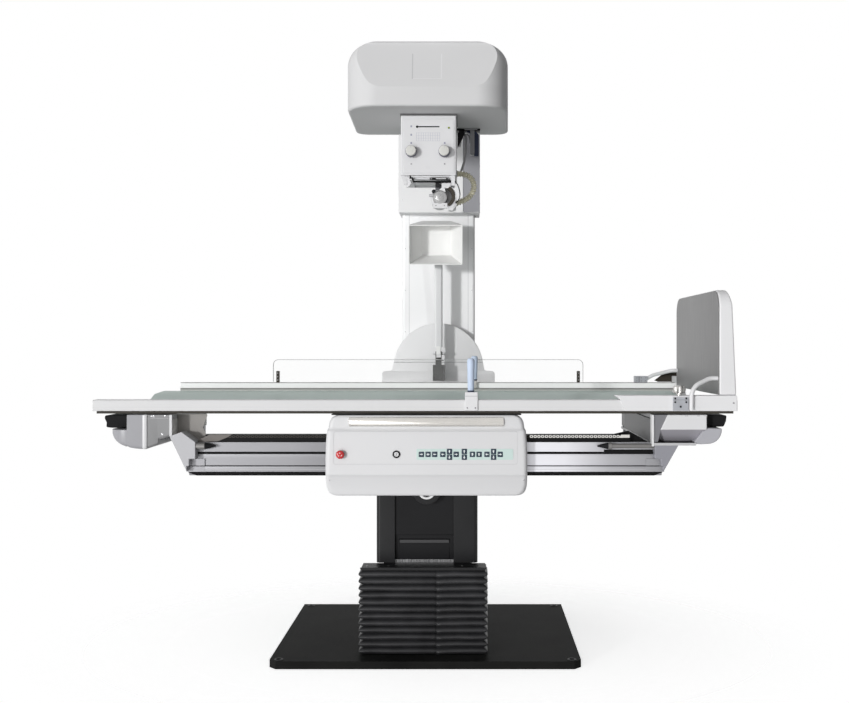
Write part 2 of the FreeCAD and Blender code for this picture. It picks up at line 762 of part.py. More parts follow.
GROOVE_DEPTH = 7.0
GROOVE_TOP = BEAM_GROOVE_Z + 3.0
GROOVE_LOW = BEAM_GROOVE_Z - 5.0
LIP_TOP = BEAM_LIP_Z + 3.0
LIP_DEPTH = 3.0
LIP_PROUD = 4.0
UNDERSIDE_DROP = 10.0
END_STEPS = [38.0, 17.0, 9.0]      # how far the bands of the front beam stop short of its half length
UPPER_STEP_Z = BEAM_GROOVE_Z - 18.0
LOWER_STEP_Z = BEAM_LIP_Z + 4.0
STEP_X = [BEAM_HALF_LENGTH - step for step in END_STEPS]
REAR_ARM_LENGTH = 68.0
REAR_ARM_LEFT = LEFT_OUTER_X + 10.0
REAR_ARM_RIGHT = RIGHT_WALL_X + 10.0


def side_beams():
    """Front beam with stepped ends, and the lower rear beam."""
    front = prism_yz(beam_profile(BEAM_FRONT, BEAM_TOP), -STEP_X[2], STEP_X[2])
    y0 = BEAM_FRONT - 2 * LIP_PROUD
    y1 = BEAM_FRONT + BEAM_THICK + 1
    for sign in (-1, 1):
        for reach, low in ((STEP_X[0], UPPER_STEP_Z), (STEP_X[1], LOWER_STEP_Z)):
            ends = sorted((sign * (STEP_X[2] + 1), sign * reach))
            front = front.cut(box(ends[0], ends[1], y0, y1, low, BEAM_TOP + 1))
    x0 = REAR_ARM_LEFT + REAR_ARM_LENGTH
    rear = prism_yz(beam_profile(BEAM_FRONT, REAR_BEAM_TOP), x0, REAR_ARM_RIGHT)
    return group([front, mirror_y(rear)])


FRAME_TOP = END_TOP - FRAME_DROP
FRAME_LOW = FRAME_TOP - FRAME_PLATE


def beam_end(sign):
    """Stepped line along the end of the front beam, from its top down."""
    x = [sign * reach for reach in STEP_X]
    return [(x[0], UPPER_STEP_Z), (x[1], UPPER_STEP_Z), (x[1], LOWER_STEP_Z), (x[2], LOWER_STEP_Z),
            (x[2], BEAM_BOTTOM + 6)]


WALL_SEAT_Z = END_TOP - 68.0
RIGHT_SEAT_Z = BEAM_TOP - 4.5
GUSSET_TOP_X = -BEAM_HALF_LENGTH - 8.0      # upper corner of the left gusset
GUSSET_TOP_Z = END_TOP - 57.0
GUSSET_WIDE_X = BEAM_HALF_LENGTH + 43.0     # outer corner of the right gusset
GUSSET_FOOT_X = BEAM_HALF_LENGTH - 25.0


def front_arm(sign):
    """Gusset that carries the end of the front beam."""
    if sign < 0:
        seat = LEFT_WALL_X - INNER_WALL
        outline = [(seat - 1, WALL_SEAT_Z - 4), (seat, WALL_SEAT_Z), (LEFT_WALL_X, WALL_SEAT_Z),
                   (GUSSET_TOP_X, GUSSET_TOP_Z), (-STEP_X[0], BEAM_TOP + 3)]
    else:
        outline = [(GUSSET_WIDE_X, RIGHT_SEAT_Z), (GUSSET_FOOT_X, RIGHT_SEAT_Z), (GUSSET_FOOT_X, BEAM_TOP),
                   (STEP_X[0], BEAM_TOP)]
    return prism_xz(outline + beam_end(sign), END_FRONT, BEAM_FRONT + BEAM_THICK)


def rear_arms(grow):
    """Posts that carry the rear beam, or the room they need."""
    back = -BEAM_FRONT + grow
    front = -BEAM_FRONT - BEAM_THICK - grow
    posts = []
    for x in (REAR_ARM_LEFT, REAR_ARM_RIGHT):
        posts.append(box(x - grow, x + REAR_ARM_LENGTH + grow, front, back, BEAM_BOTTOM, FRAME_LOW))
    return posts


def beam_arms():
    return group([front_arm(-1), front_arm(1)] + rear_arms(0.0))


def end_frames():
    """Cross members at the two table ends: top plate with an inner wall."""
    y0 = END_FRONT + END_WALL + SOFT_GAP
    y1 = END_BACK - END_WALL - SOFT_GAP
    left_reach = REAR_ARM_LEFT + REAR_ARM_LENGTH
    left = box(REAR_ARM_LEFT, LEFT_WALL_X, y0, y1, FRAME_LOW, FRAME_TOP)
    left = left.cut(box(left_reach, LEFT_WALL_X + 1, LEFT_WALL_BACK, y1 + 1, 0, FRAME_TOP + 1))
    wall = box(LEFT_WALL_X - INNER_WALL, LEFT_WALL_X, y0, LEFT_WALL_BACK, WALL_SEAT_Z, FRAME_TOP)
    left = left.fuse(wall).removeSplitter()
    right = box(RIGHT_WALL_X, RIGHT_OUTER_X - 2 * END_WALL, y0, y1, FRAME_LOW, FRAME_TOP)
    wall = box(RIGHT_WALL_X, RIGHT_WALL_X + INNER_WALL, y0, RIGHT_WALL_BACK, BEAM_TOP, FRAME_TOP)
    return group([left, right.fuse(wall).removeSplitter()])


def slide_rails():
    """Cross rails on which the table top floats sideways."""
    half = SLIDE_RAIL_WIDTH / 2
    rails = []
    for x in (LEFT_SLIDE_X, RIGHT_SLIDE_X):
        y0 = -SLIDE_RAIL_LENGTH / 2
        y1 = SLIDE_RAIL_LENGTH / 2
        rails.append(box(x - half, x + half, y0, y1, FRAME_TOP, FRAME_TOP + SLIDE_RAIL_HEIGHT))
    return group(rails)


def end_shell(outline, inner, side, notch=None):
    """Hollow shell from an outline, open at the top and towards the middle of the table.

    The notch is the corner (x, y) from which the shell stops short towards the table and the back.
    Its walls end below the cross member."""
    y0 = END_FRONT + END_WALL
    y1 = END_BACK - END_WALL
    shell = curved_xz(outline, END_FRONT, END_BACK)
    room = curved_xz(outline, y0, y1, END_WALL)
    if notch:
        x, y = notch
        shell = shell.cut(box(x, 0, y, END_BACK + 1, 0, END_TOP + 1))
        above = FRAME_LOW - FLAT_GAP
        shell = shell.cut(box(x - END_WALL, 0, y - END_WALL, END_BACK + 1, above, END_TOP + 1))
        room = room.cut(box(x - END_WALL, 0, y - END_WALL, END_BACK + 1, 0, END_TOP + 1))
    shell = shell.cut(room)
    for x0, x1, z0 in (inner, side):
        shell = shell.cut(box(x0, x1, y0, y1, z0, END_TOP + 1))
    return shell


def end_covers():
    """Moulded end shells with a bulging lower part below the bumpers."""
    x = LEFT_OUTER_X
    z = END_TOP
    seam = LEFT_WALL_X - INNER_WALL - 1
    bulge = [(x, z), (x, z - 48), (x - 46, z - 51), (x + 52, z - 115, x - 22, z - 92), (x + 65, z - 114),
             (x + 103, z - 100), (x + 105, z - 83), (seam, z - 71), (seam, z)]
    open_top = (x + END_WALL, LEFT_WALL_X, z - 2 * END_WALL)
    open_side = (seam - 2 * END_WALL, LEFT_WALL_X, z - 71 + END_WALL)
    notch = (REAR_ARM_LEFT + REAR_ARM_LENGTH + FLAT_GAP + END_WALL, LEFT_WALL_BACK)
    left = end_shell(bulge, open_top, open_side, notch)
    x = RIGHT_WALL_X
    outer = RIGHT_OUTER_X
    bulge = [(x + 52, z), (x + 21, z - 79), (x + 21, z - 94), (x + 140, z - 98), (x + 148, z - 95),
             (x + 200, z - 91), (outer + 53, z - 47, outer + 42, z - 78), (outer, z - 45), (outer, z)]
    open_top = (x + INNER_WALL, outer - END_WALL, z - 2 * END_WALL)
    open_side = (x + INNER_WALL, x + 60, z - 94 + END_WALL)
    right = end_shell(bulge, open_top, open_side)
    room = rear_arms(FLAT_GAP)
    return group([left.cut(room[0]), right.cut(room[1])])


def end_bumpers():
    """Rubber bumpers on the outer faces of the end shells."""
    half = BUMPER_DEPTH / 2
    x = LEFT_OUTER_X - BUMPER_REACH
    middle = (BUMPER_TOP + BUMPER_BOTTOM) / 2
    left = prism_xz([(LEFT_OUTER_X, BUMPER_BOTTOM), (LEFT_OUTER_X, BUMPER_TOP), (x + 2, BUMPER_TOP - 3),
                     (x, middle + 10), (x + 7, middle - 4), (x + 6, BUMPER_BOTTOM + 2),
                     (x + 24, BUMPER_BOTTOM)], -half, half)
    x = RIGHT_OUTER_X + BUMPER_REACH - 14.0
    low = BUMPER_BOTTOM + 3.0
    right = prism_xz([(RIGHT_OUTER_X, low), (RIGHT_OUTER_X, BUMPER_TOP), (x, BUMPER_TOP - 3),
                      (x - 2, middle), (x - 10, low + 1)], -half, half)
    return group([left, right])


def rack_tray():
    """Tray on the front beam with the toothed rack that drives the travel."""
    wall = TRAY_WALL
    y0 = BEAM_FRONT + wall
    y1 = BEAM_FRONT + BEAM_THICK - 2
    top = BEAM_TOP + TRAY_HEIGHT
    floor = BEAM_TOP + wall
    tray = box(TRAY_LEFT, TRAY_RIGHT, y0, y1, BEAM_TOP, top)
    tray = tray.cut(box(TRAY_LEFT + 3 * wall, TRAY_RIGHT - 3 * wall, y0 + wall, y1 - wall, floor, top + 1))
    rack = box(TRAY_LEFT + 4 * wall, TRAY_RIGHT - 4 * wall, y0 + wall, y1 - 2 * wall, floor, top - wall)
    return group([tray, rack])


BUFFER_Y = BEAM_FRONT - BUFFER_R - LIP_PROUD
ROD_R = 7.5             # thin part of the right stop rod
HUB_LENGTH = 12.0       # collar that the right tip is pressed on
TIP_R = 2.5


def buffer_rods():
    """Stop rods in front of the beam, held by the two gussets."""
    reach = STEP_X[0] + 30
    left = rod((-reach, BUFFER_Y, BUFFER_Z), (LEFT_BUFFER_X, BUFFER_Y, BUFFER_Z), BUFFER_R)
    hub_end = RIGHT_BUFFER_X + HUB_LENGTH
    right = rod((hub_end, BUFFER_Y, BUFFER_Z), (reach, BUFFER_Y, BUFFER_Z), ROD_R)
    hub = rod((RIGHT_BUFFER_X, BUFFER_Y, BUFFER_Z), (hub_end, BUFFER_Y, BUFFER_Z), BUFFER_R)
    seats = front_arm(-1).fuse(front_arm(1))
    return group([left.cut(seats), right.fuse(hub).cut(seats).removeSplitter()])


def buffer_tips():
    """Rubber cones on the inner ends of the stop rods."""
    tips = []
    for x, sign in ((LEFT_BUFFER_X, 1), (RIGHT_BUFFER_X, -1)):
        point = (x + sign * BUFFER_TIP, BUFFER_Y, BUFFER_Z)
        tips.append(cone((x, BUFFER_Y, BUFFER_Z), point, BUFFER_R, TIP_R))
    return group(tips)


# ---------------------------------------------------------------- table top
PANEL_MID_Y = (FRONT_RAIL_Y1 + REAR_RAIL_Y0) / 2
CROSS_TOP = PANEL_LOW_Z - PANEL_TABLE_THICK
PANEL_RIGHT = FOOT_X - 8.0


def panel_line(drop):
    half = PANEL_FLAT_HALF
    side = half + PANEL_SLOPE
    edge = (REAR_RAIL_Y0 - FRONT_RAIL_Y1) / 2
    heights = [(-edge, PANEL_EDGE_Z), (-side, PANEL_SIDE_Z), (-half, PANEL_LOW_Z),
               (half, PANEL_LOW_Z), (side, PANEL_SIDE_Z), (edge, PANEL_EDGE_Z)]
    return [(PANEL_MID_Y + y, z - drop) for y, z in heights]


def table_panel():
    """Dished panel between the two rails."""
    outline = panel_line(0.0) + panel_line(PANEL_TABLE_THICK)[::-1]
    return prism_yz(outline, TABLE_LEFT, PANEL_RIGHT)


def rail(x0, y0, y1, z0, z1):
    """Hollow rail with an open slot along the inner top edge."""
    wall = RAIL_WALL
    body = box(x0, TABLE_RIGHT, y0, y1, z0, z1)
    body = round_along(body, "x", 3.0, lambda p: p.z > z1 - 1)
    return body.cut(box(x0 + wall, TABLE_RIGHT - wall, y0 + wall, y1 - wall, z0 + wall, z1 - wall))


def front_rail():
    body = rail(TABLE_LEFT, FRONT_RAIL_Y0, FRONT_RAIL_Y1, FRONT_RAIL_LIP, FRONT_RAIL_TOP)
    y0 = FRONT_RAIL_Y0 + 8
    lip = box(TABLE_LEFT + 12, TABLE_RIGHT - 12, y0, FRONT_RAIL_Y1, FRONT_RAIL_BOTTOM, FRONT_RAIL_LIP)
    return body.fuse(lip).removeSplitter()


def rear_rail():
    body = rail(REAR_RAIL_LEFT, REAR_RAIL_Y0, REAR_RAIL_Y1, CROSS_TOP, REAR_RAIL_TOP)
    y = SCREEN_Y
    top = REAR_RAIL_TOP
    slot = box(REAR_RAIL_LEFT + 20, TABLE_RIGHT - 20, y, y + SCREEN_THICK, top - 3, top + 1)
    return body.cut(slot)


def table_crossbars():
    """Bars under the panel, each with two sliders that grip the cross rail."""
    bars = []
    for x in (LEFT_SLIDE_X, RIGHT_SLIDE_X):
        half = CROSSBAR_WIDTH / 2
        bar = box(x - half, x + half, FRONT_RAIL_Y1, REAR_RAIL_Y1 - RAIL_WALL, FRONT_RAIL_BOTTOM, CROSS_TOP)
        gap = SLIDE_RAIL_WIDTH / 2 + FLAT_GAP
        top = FRAME_TOP + SLIDE_RAIL_HEIGHT + FLAT_GAP
        for y in (-110.0, 110.0):
            shoe = box(x - half, x + half, y - 40, y + 40, FRAME_TOP + FLAT_GAP, FRONT_RAIL_BOTTOM)
            shoe = shoe.cut(box(x - gap, x + gap, y - 41, y + 41, FRAME_TOP, top))
            bar = bar.fuse(shoe)
        bars.append(bar.removeSplitter())
    return group(bars)


def side_screen():
    plate = box(SCREEN_X0, SCREEN_X1, SCREEN_Y, SCREEN_Y + SCREEN_THICK, REAR_RAIL_TOP - 3, SCREEN_TOP)
    return round_along(plate, "y", SCREEN_R, lambda p: p.z > SCREEN_TOP - 1)


def screen_clamps():
    posts = []
    back = SCREEN_Y + SCREEN_THICK
    for x in (SCREEN_X0 + 20, SCREEN_X1 - 20):
        post = box(x - 6, x + 6, back, back + 7, REAR_RAIL_TOP, REAR_RAIL_TOP + 44)
        front = box(x - 6, x + 6, SCREEN_Y - 3, SCREEN_Y, REAR_RAIL_TOP, REAR_RAIL_TOP + 44)
        cap = box(x - 6, x + 6, SCREEN_Y - 3, back + 7, REAR_RAIL_TOP + 44, REAR_RAIL_TOP + 47)
        hole = side_screen()
        posts.append(post.fuse(front).fuse(cap).cut(hole).removeSplitter())
    return group(posts)


def grip(x, y, z0):
    """Tapered hand grip with a rounded top."""
    handle = cone((x, y, z0), (x, y, z0 + GRIP_LENGTH), GRIP_R - 3, GRIP_R)
    return handle.makeFillet(5.0, [e for e in handle.Edges if e.BoundBox.ZMin > z0 + GRIP_LENGTH - 0.01])


FRONT_GRIP_Y = (FRONT_RAIL_Y0 + FRONT_RAIL_Y1) / 2
REAR_GRIP_Y = REAR_RAIL_Y0 - 2.0
GRIP_SEAT = 26.0


def front_grip_clamp():
    """Bracket hooked over the front rail."""
    x0 = FRONT_GRIP_X - 20
    x1 = FRONT_GRIP_X + 23
    seat = FRONT_RAIL_TOP + GRIP_SEAT
    front = box(x0, x1, FRONT_RAIL_Y0 - 5, FRONT_RAIL_Y0 - SOFT_GAP, FRONT_RAIL_LIP + 2, seat)
    top = box(x0, x1, FRONT_RAIL_Y0 - 5, FRONT_RAIL_Y1, FRONT_RAIL_TOP + SOFT_GAP, seat)
    return round_along(front.fuse(top).removeSplitter(), "z", 4.0, lambda p: p.z > FRONT_RAIL_TOP)


def rear_grip_clamp():
    x0 = REAR_GRIP_X - 9
    x1 = REAR_GRIP_X + 9
    top = REAR_RAIL_TOP + SOFT_GAP
    plate = box(x0, x1, REAR_RAIL_Y0 - 16, SCREEN_Y - 3 - SOFT_GAP, top, top + 8)
    front = box(x0, x1, REAR_RAIL_Y0 - 16, REAR_RAIL_Y0 - SOFT_GAP, REAR_RAIL_TOP - 22, top + 8)
    return plate.fuse(front).removeSplitter()


# ---------------------------------------------------------------- footrest
def footrest_casing():
    """Moulded back of the footrest, thin at the top and open towards the steel plate."""
    half_tip = FOOT_X + FOOT_TIP
    outer = FOOT_X + FOOT_BASE
    low = FRONT_RAIL_TOP + FOOT_LIFT
    kink = low + FOOT_KINK
    slope = FOOT_TOP - FOOT_SLOPE
    wall = FOOT_WALL
    shell = FOOT_SHELL
    outline = [(FOOT_X, low), (outer, low), (outer - 6, kink), (half_tip + 4, slope),
               (half_tip - 6, FOOT_TOP), (FOOT_X, FOOT_TOP)]
    body = prism_xz(outline, FOOT_Y0, FOOT_Y1)
    room = [(FOOT_X - 1, low + wall), (outer - wall, low + wall), (outer - wall - 5, kink),
            (half_tip - 5, slope), (half_tip - 12, FOOT_TOP - shell), (FOOT_X - 1, FOOT_TOP - shell)]
    y0 = FOOT_Y0 + shell
    y1 = FOOT_Y1 - shell
    top = FOOT_TOP - shell
    trim = box(FOOT_X - 1, outer + 1, FOOT_Y0, FOOT_Y1, 0, FOOT_TOP)
    trim = round_along(trim, "x", FOOT_R, lambda p: p.z > FOOT_TOP - 1)
    inner = box(FOOT_X - 2, outer + 1, y0, y1, 0, top)
    inner = round_along(inner, "x", FOOT_R - shell, lambda p: p.z > top - 1)
    return body.common(trim).cut(prism_xz(room, y0, y1).common(inner))


def foot_plate():
    """Steel plate that the patient's feet stand against."""
    low = FRONT_RAIL_TOP + 18.0
    plate = box(FOOT_X - FOOT_PLATE_THICK, FOOT_X, FOOT_Y0 + 3, FOOT_Y1 - 3, low, FOOT_TOP - 3)
    return round_along(plate, "x", FOOT_R - 3, lambda p: p.z > FOOT_TOP - 4)


FOOT_FLANGE = FRONT_RAIL_TOP + FOOT_LIFT
SKIRT_WALL = 3.5
SKIRT_FRONT = FRONT_RAIL_Y0 - SOFT_GAP - SKIRT_WALL


def footrest_frame():
    """Side skirt that hooks over the front rail and bearer that lies on the rear rail."""
    outer = FOOT_X + FOOT_BASE
    outline = [(SKIRT_LEFT + 16, FRONT_RAIL_LIP), (outer, FRONT_RAIL_LIP), (outer, FOOT_FLANGE),
               (SKIRT_LEFT, FOOT_FLANGE), (SKIRT_LEFT, FRONT_RAIL_LIP + 34)]
    skirt = prism_xz(outline, SKIRT_FRONT, SKIRT_FRONT + SKIRT_WALL)
    top = box(SKIRT_LEFT, outer, SKIRT_FRONT, FRONT_RAIL_Y1, FRONT_RAIL_TOP + SOFT_GAP, FOOT_FLANGE)
    front = skirt.fuse(top).removeSplitter()
    z0 = REAR_RAIL_TOP + SOFT_GAP
    rear = box(FOOT_X + 4, outer - 8, FOOT_Y1, REAR_RAIL_Y1, z0, z0 + 26)
    return group([front, rear])


def tube_path(points, radius):
    """Tube along straight runs joined by arcs as large as the runs allow."""
    nodes = [vec(*p) for p in points]
    edges = []
    last = nodes[0]
    for before, corner, after in zip(nodes, nodes[1:], nodes[2:]):
        to_start = (before - corner).normalize()
        to_end = (after - corner).normalize()
        turn = math.pi - to_start.getAngle(to_end)
        cut = 0.45 * min((before - corner).Length, (after - corner).Length)
        bend = cut / math.tan(turn / 2)
        start = corner + to_start * cut
        end = corner + to_end * cut
        inward = (to_start + to_end).normalize()
        middle = corner + inward * (bend / math.cos(turn / 2) - bend)
        edges.append(Part.LineSegment(last, start).toShape())
        edges.append(Part.Arc(start, middle, end).toShape())
        last = end
    edges.append(Part.LineSegment(last, nodes[-1]).toShape())
    path = Part.Wire(edges)
    direction = (nodes[1] - nodes[0]).normalize()
    profile = Part.Wire([Part.makeCircle(radius, nodes[0], direction)])
    return path.makePipeShell([profile], True, False)


CLAMP_MID = (CLAMP_X0 + CLAMP_X1) / 2


def footrest_tubes():
    """Bent handle tubes from the casing to the two rails."""
    y0 = FRONT_RAIL_Y0 + 18.0
    side = SKIRT_FRONT - FOOT_TUBE_R
    x = CLAMP_X1 + 10
    plate = FOOT_X - FOOT_PLATE_THICK
    front = [(plate, y0, 970), (plate - 26, y0, 970), (x, side, 940), (x, side, FRONT_RAIL_LIP + 5)]
    y1 = FOOT_Y1 - 20.0
    rear = [(plate, y1, 980), (plate - 24, y1, 980), (CLAMP_X1 + 30, REAR_RAIL_Y0 + 8, 958),
            (CLAMP_X1 + 6, REAR_RAIL_Y0 + 12, REAR_RAIL_TOP + 16)]
    return group([tube_path(front, FOOT_TUBE_R), tube_path(rear, FOOT_TUBE_R)])


def footrest_clamps():
    """Clamp block on the front skirt and clamp block on the rear rail."""
    y = SKIRT_FRONT
    front = box(CLAMP_X0, CLAMP_X1, y - 9, y, FRONT_RAIL_LIP + 2, FOOT_FLANGE - 6)
    for x, z in ((-18, 10), (18, 10), (0, -8)):
        mid_z = FRONT_RAIL_LIP + 26
        front = front.cut(rod((CLAMP_MID + x, y - 10, mid_z + z), (CLAMP_MID + x, y - 6, mid_z + z), 3.0))
    y = FRONT_RAIL_Y0 + 16
    stem = rod((CLAMP_MID, y, FOOT_FLANGE), (CLAMP_MID, y, FOOT_FLANGE + 6), 8)
    z0 = REAR_RAIL_TOP + SOFT_GAP
    rear = box(CLAMP_X0 + 6, CLAMP_X1 + 6, REAR_RAIL_Y0 - 4, REAR_RAIL_Y1 - 8, z0, z0 + 26)
    return group([front, stem, rear.cut(footrest_tubes())])


def clamp_knob():
    x = CLAMP_MID
    y = FRONT_RAIL_Y0 + 16
    z0 = FOOT_FLANGE + 6 + SOFT_GAP
    knob = rod((x, y, z0), (x, y, z0 + 26), CLAMP_KNOB_R)
    for k in range(8):
        angle = math.radians(45 * k)
        gx = x + (CLAMP_KNOB_R + 2) * math.cos(angle)
        gy = y + (CLAMP_KNOB_R + 2) * math.sin(angle)
        knob = knob.cut(rod((gx, gy, z0 - 1), (gx, gy, z0 + 27), 4.0))
    return knob


# ---------------------------------------------------------------- tube column
BRACKET_HALF = 150.0
BRACKET_Z1 = 840.0
BRACKET_WALL = 12.0
PIVOT_WALL = 4.0
BEAM_CLEAR = 8.0


def column_bracket():
    """Cranked arm from the rear carriage plate, over the rear beam, to the column pivot."""
    x0 = PIVOT_X - BRACKET_HALF
    x1 = PIVOT_X + BRACKET_HALF
    low = REAR_BEAM_TOP + BEAM_CLEAR
    front = PIVOT_COVER_Y0 + PIVOT_WALL
    arm = box(x0, x1, PLATE_Y1, PIVOT_COVER_Y1, low, BRACKET_Z1)
    post = box(x0, x1, front, PIVOT_COVER_Y1, low, PIVOT_Z + 40)
    wall = BRACKET_WALL
    arm = arm.cut(box(x0 + wall, x1 - wall, PLATE_Y1 + wall, front - 1, low + wall, BRACKET_Z1 - wall))
    pin = rod((PIVOT_X, PIVOT_COVER_Y1, PIVOT_Z), (PIVOT_X, COLUMN_Y0 + 60, PIVOT_Z), PIVOT_PIN_R)
    return arm.fuse(post).fuse(pin).removeSplitter()


def pivot_outline(inset):
    """Half disc on a stepped foot, as edges of a closed wire at the front plane."""
    r = PIVOT_R - inset
    y = PIVOT_COVER_Y0 + inset
    seam = PIVOT_Z + 26.0
    start = math.asin((seam - PIVOT_Z) / r)
    dx = r * math.cos(start)
    a = vec(PIVOT_X + dx, y, seam)
    top = vec(PIVOT_X, y, PIVOT_Z + r)
    b = vec(PIVOT_X - dx, y, seam)
    low = BASE_STEP_Z0
    x0 = BASE_STEP_X0 + inset
    x1 = BASE_STEP_X1 - inset
    z1 = BASE_STEP_Z1 - inset
    foot = [b, vec(PIVOT_X - r + inset, y, z1 + 6), vec(x0 + 6, y, z1), vec(x0, y, z1 - 6), vec(x0, y, low),
            vec(x1, y, low), vec(x1, y, z1 - 6), vec(x1 - 6, y, z1), vec(PIVOT_X + r - inset, y, z1 + 6), a]
    edges = [Part.Arc(a, top, b).toShape()]
    for p, q in zip(foot, foot[1:]):
        edges.append(Part.LineSegment(p, q).toShape())
    return Part.Face(Part.Wire(edges))


def pivot_cover():
    """White shell over the column pivot."""
    body = pivot_outline(0.0).extrude(vec(0, PIVOT_COVER_Y1 - PIVOT_COVER_Y0, 0))
    room = pivot_outline(PIVOT_WALL).extrude(vec(0, PIVOT_COVER_Y1 - PIVOT_COVER_Y0, 0))
    return body.cut(room).cut(column_bracket())


def column_shell():
    """Tube column: hollow post that turns about the pivot pin."""
    x0 = PIVOT_X - COLUMN_HALF
    x1 = PIVOT_X + COLUMN_HALF
    wall = COLUMN_WALL
    post = box(x0, x1, COLUMN_Y0, COLUMN_Y1, COLUMN_BOTTOM, COLUMN_TOP)
    post = round_along(post, "z", 12.0)
    room = box(x0 + wall, x1 - wall, COLUMN_Y0 + wall, COLUMN_Y1 - wall,
               COLUMN_BOTTOM + wall, COLUMN_TOP - wall)
    post = post.cut(room)
    hub = rod((PIVOT_X, COLUMN_Y0, PIVOT_Z), (PIVOT_X, COLUMN_Y0 + 90, PIVOT_Z), PIVOT_PIN_R + 25)
    bore = rod((PIVOT_X, COLUMN_Y0 - 1, PIVOT_Z), (PIVOT_X, COLUMN_Y0 + 62, PIVOT_Z), PIVOT_PIN_R + RUN_FIT)
    return post.fuse(hub).cut(bore).removeSplitter()


def sid_carriage():
    """Sleeve that rides on the front and sides of the column and carries the support arm."""
    x0 = PIVOT_X - COLUMN_HALF
    x1 = PIVOT_X + COLUMN_HALF
    gap = FLAT_GAP
    back = COLUMN_Y0 + 100.0
    body = box(SID_X0, SID_X1, SID_Y0, back, SID_BOTTOM, SID_TOP)
    body = round_along(body, "z", 9.0, lambda p: p.y < SID_Y0 + 1)
    body = body.cut(box(x0 - gap, x1 + gap, COLUMN_Y0 - gap, back + 1, SID_BOTTOM - 1, SID_TOP + 1))
    room = box(SID_X0 + 8, SID_X1 - 8, SID_Y0 + SID_WALL, COLUMN_Y0 - gap - SID_WALL, SID_BOTTOM + SID_WALL,
               SID_TOP - SID_WALL)
    return body.cut(room)


def support_arm():
    """Round arm from the carriage to the tube head, ending in the bearing spigot."""
    arm = rod((FOCUS_X, HEAD_Y1 + 12, HEAD_Z), (FOCUS_X, SID_Y0, HEAD_Z), ARM_R)
    spigot = rod((FOCUS_X, HEAD_Y1 - 60, HEAD_Z), (FOCUS_X, HEAD_Y1 + 12, HEAD_Z), ARM_R - 22)
    return arm.fuse(spigot).removeSplitter()


# ---------------------------------------------------------------- tube head
def head_outline(inset):
    """Tube head form: rounded front view, leaning side view and plan that widens to the back."""
    x0 = HEAD_X0 - HEAD_SPREAD + inset
    x1 = HEAD_X1 + HEAD_SPREAD - inset
    y0 = HEAD_Y0 + inset
    y1 = HEAD_Y1 - inset
    z0 = HEAD_BOTTOM + inset
    z1 = HEAD_TOP - inset
    front = box(x0, x1, y0, y1, z0 - HEAD_LIP, z1)
    front = round_along(front, "y", HEAD_R - inset, lambda p: p.z > z1 - 1)
    front = round_along(front, "y", HEAD_LOW_R - inset, lambda p: p.z < z0)
    side = [(y1, z0), (y1, z1), (y0 + HEAD_TOP_LEAN, z1), (y0 + 14, z1 - HEAD_BROW_DROP),
            (y0, z1 - HEAD_NOSE_DROP), (y0 + 28, z0 - HEAD_LIP), (y0 + HEAD_LIP_LENGTH, z0)]
    plan = [vec(x0 + HEAD_SPREAD, y0, 0), vec(x1 - HEAD_SPREAD, y0, 0), vec(x1, y1, 0), vec(x0, y1, 0)]
    wedge = Part.Face(Part.makePolygon(plan + plan[:1])).extrude(vec(0, 0, 2 * HEAD_TOP))
    wedge = round_along(wedge, "z", HEAD_PLAN_R - inset, lambda p: p.y < y0 + 1)
    return front.common(prism_yz(side, x0, x1)).common(wedge)


def head_cover():
    """Moulded shell round the tube housing."""
    body = head_outline(0.0).cut(head_outline(HEAD_WALL))
    opening = rod((FOCUS_X, HEAD_Y1 - 30, HEAD_Z), (FOCUS_X, HEAD_Y1 + 1, HEAD_Z), ARM_R)
    port = rod((FOCUS_X, FOCUS_Y, HEAD_BOTTOM - 1), (FOCUS_X, FOCUS_Y, HEAD_BOTTOM + 30), 48)
    return body.cut(opening).cut(port)


def tube_housing():
    """Lead-lined tube housing with the bearing that turns on the arm."""
    reach = TUBE_LENGTH / 2
    tube = rod((FOCUS_X - reach, FOCUS_Y, HEAD_Z), (FOCUS_X + reach, FOCUS_Y, HEAD_Z), TUBE_R)
    neck = rod((FOCUS_X, FOCUS_Y, HEAD_Z), (FOCUS_X, HEAD_Y1 - 2, HEAD_Z), ARM_R - 4)
    port = rod((FOCUS_X, FOCUS_Y, COLLIMATOR_TOP + 4), (FOCUS_X, FOCUS_Y, HEAD_Z), 46)
    body = tube.fuse(neck).fuse(port)
    bore = rod((FOCUS_X, HEAD_Y1 - 62, HEAD_Z), (FOCUS_X, HEAD_Y1, HEAD_Z), ARM_R - 22 + RUN_FIT)
    pin = rod((FOCUS_X, FOCUS_Y, COLLIMATOR_TOP - 20), (FOCUS_X, FOCUS_Y, HEAD_Z), COLLIMATOR_PIN_R)
    return body.fuse(pin).cut(bore).removeSplitter()


def head_seats():
    """Blocks that hold the cover on the tube housing."""
    seats = []
    for sign in (-1, 1):
        x = FOCUS_X + sign * HEAD_SEAT_REACH
        half = HEAD_SEAT / 2
        seat = box(x - half, x + half, FOCUS_Y - half, FOCUS_Y + half, HEAD_BOTTOM + HEAD_WALL, HEAD_Z)
        seats.append(seat)
    return group(seats).cut(tube_housing())


def side_bracket():
    """Dark plate with the side cover strip beside the collimator."""
    plate = box(130, 178, 60, 110, HEAD_BOTTOM - 8, HEAD_BOTTOM)
    strip = box(152, 168, 66, 100, HEAD_BOTTOM - 100, HEAD_BOTTOM - 8)
    return plate.fuse(round_along(strip, "y", 6.0, lambda p: p.z < HEAD_BOTTOM - 90)).removeSplitter()


# ---------------------------------------------------------------- collimator
COLLIMATOR_FRONT = FOCUS_Y - COLLIMATOR_HALF


def focus_block(half, z0, z1):
    """Square block round the line of the focus."""
    return box(FOCUS_X - half, FOCUS_X + half, FOCUS_Y - half, FOCUS_Y + half, z0, z1)


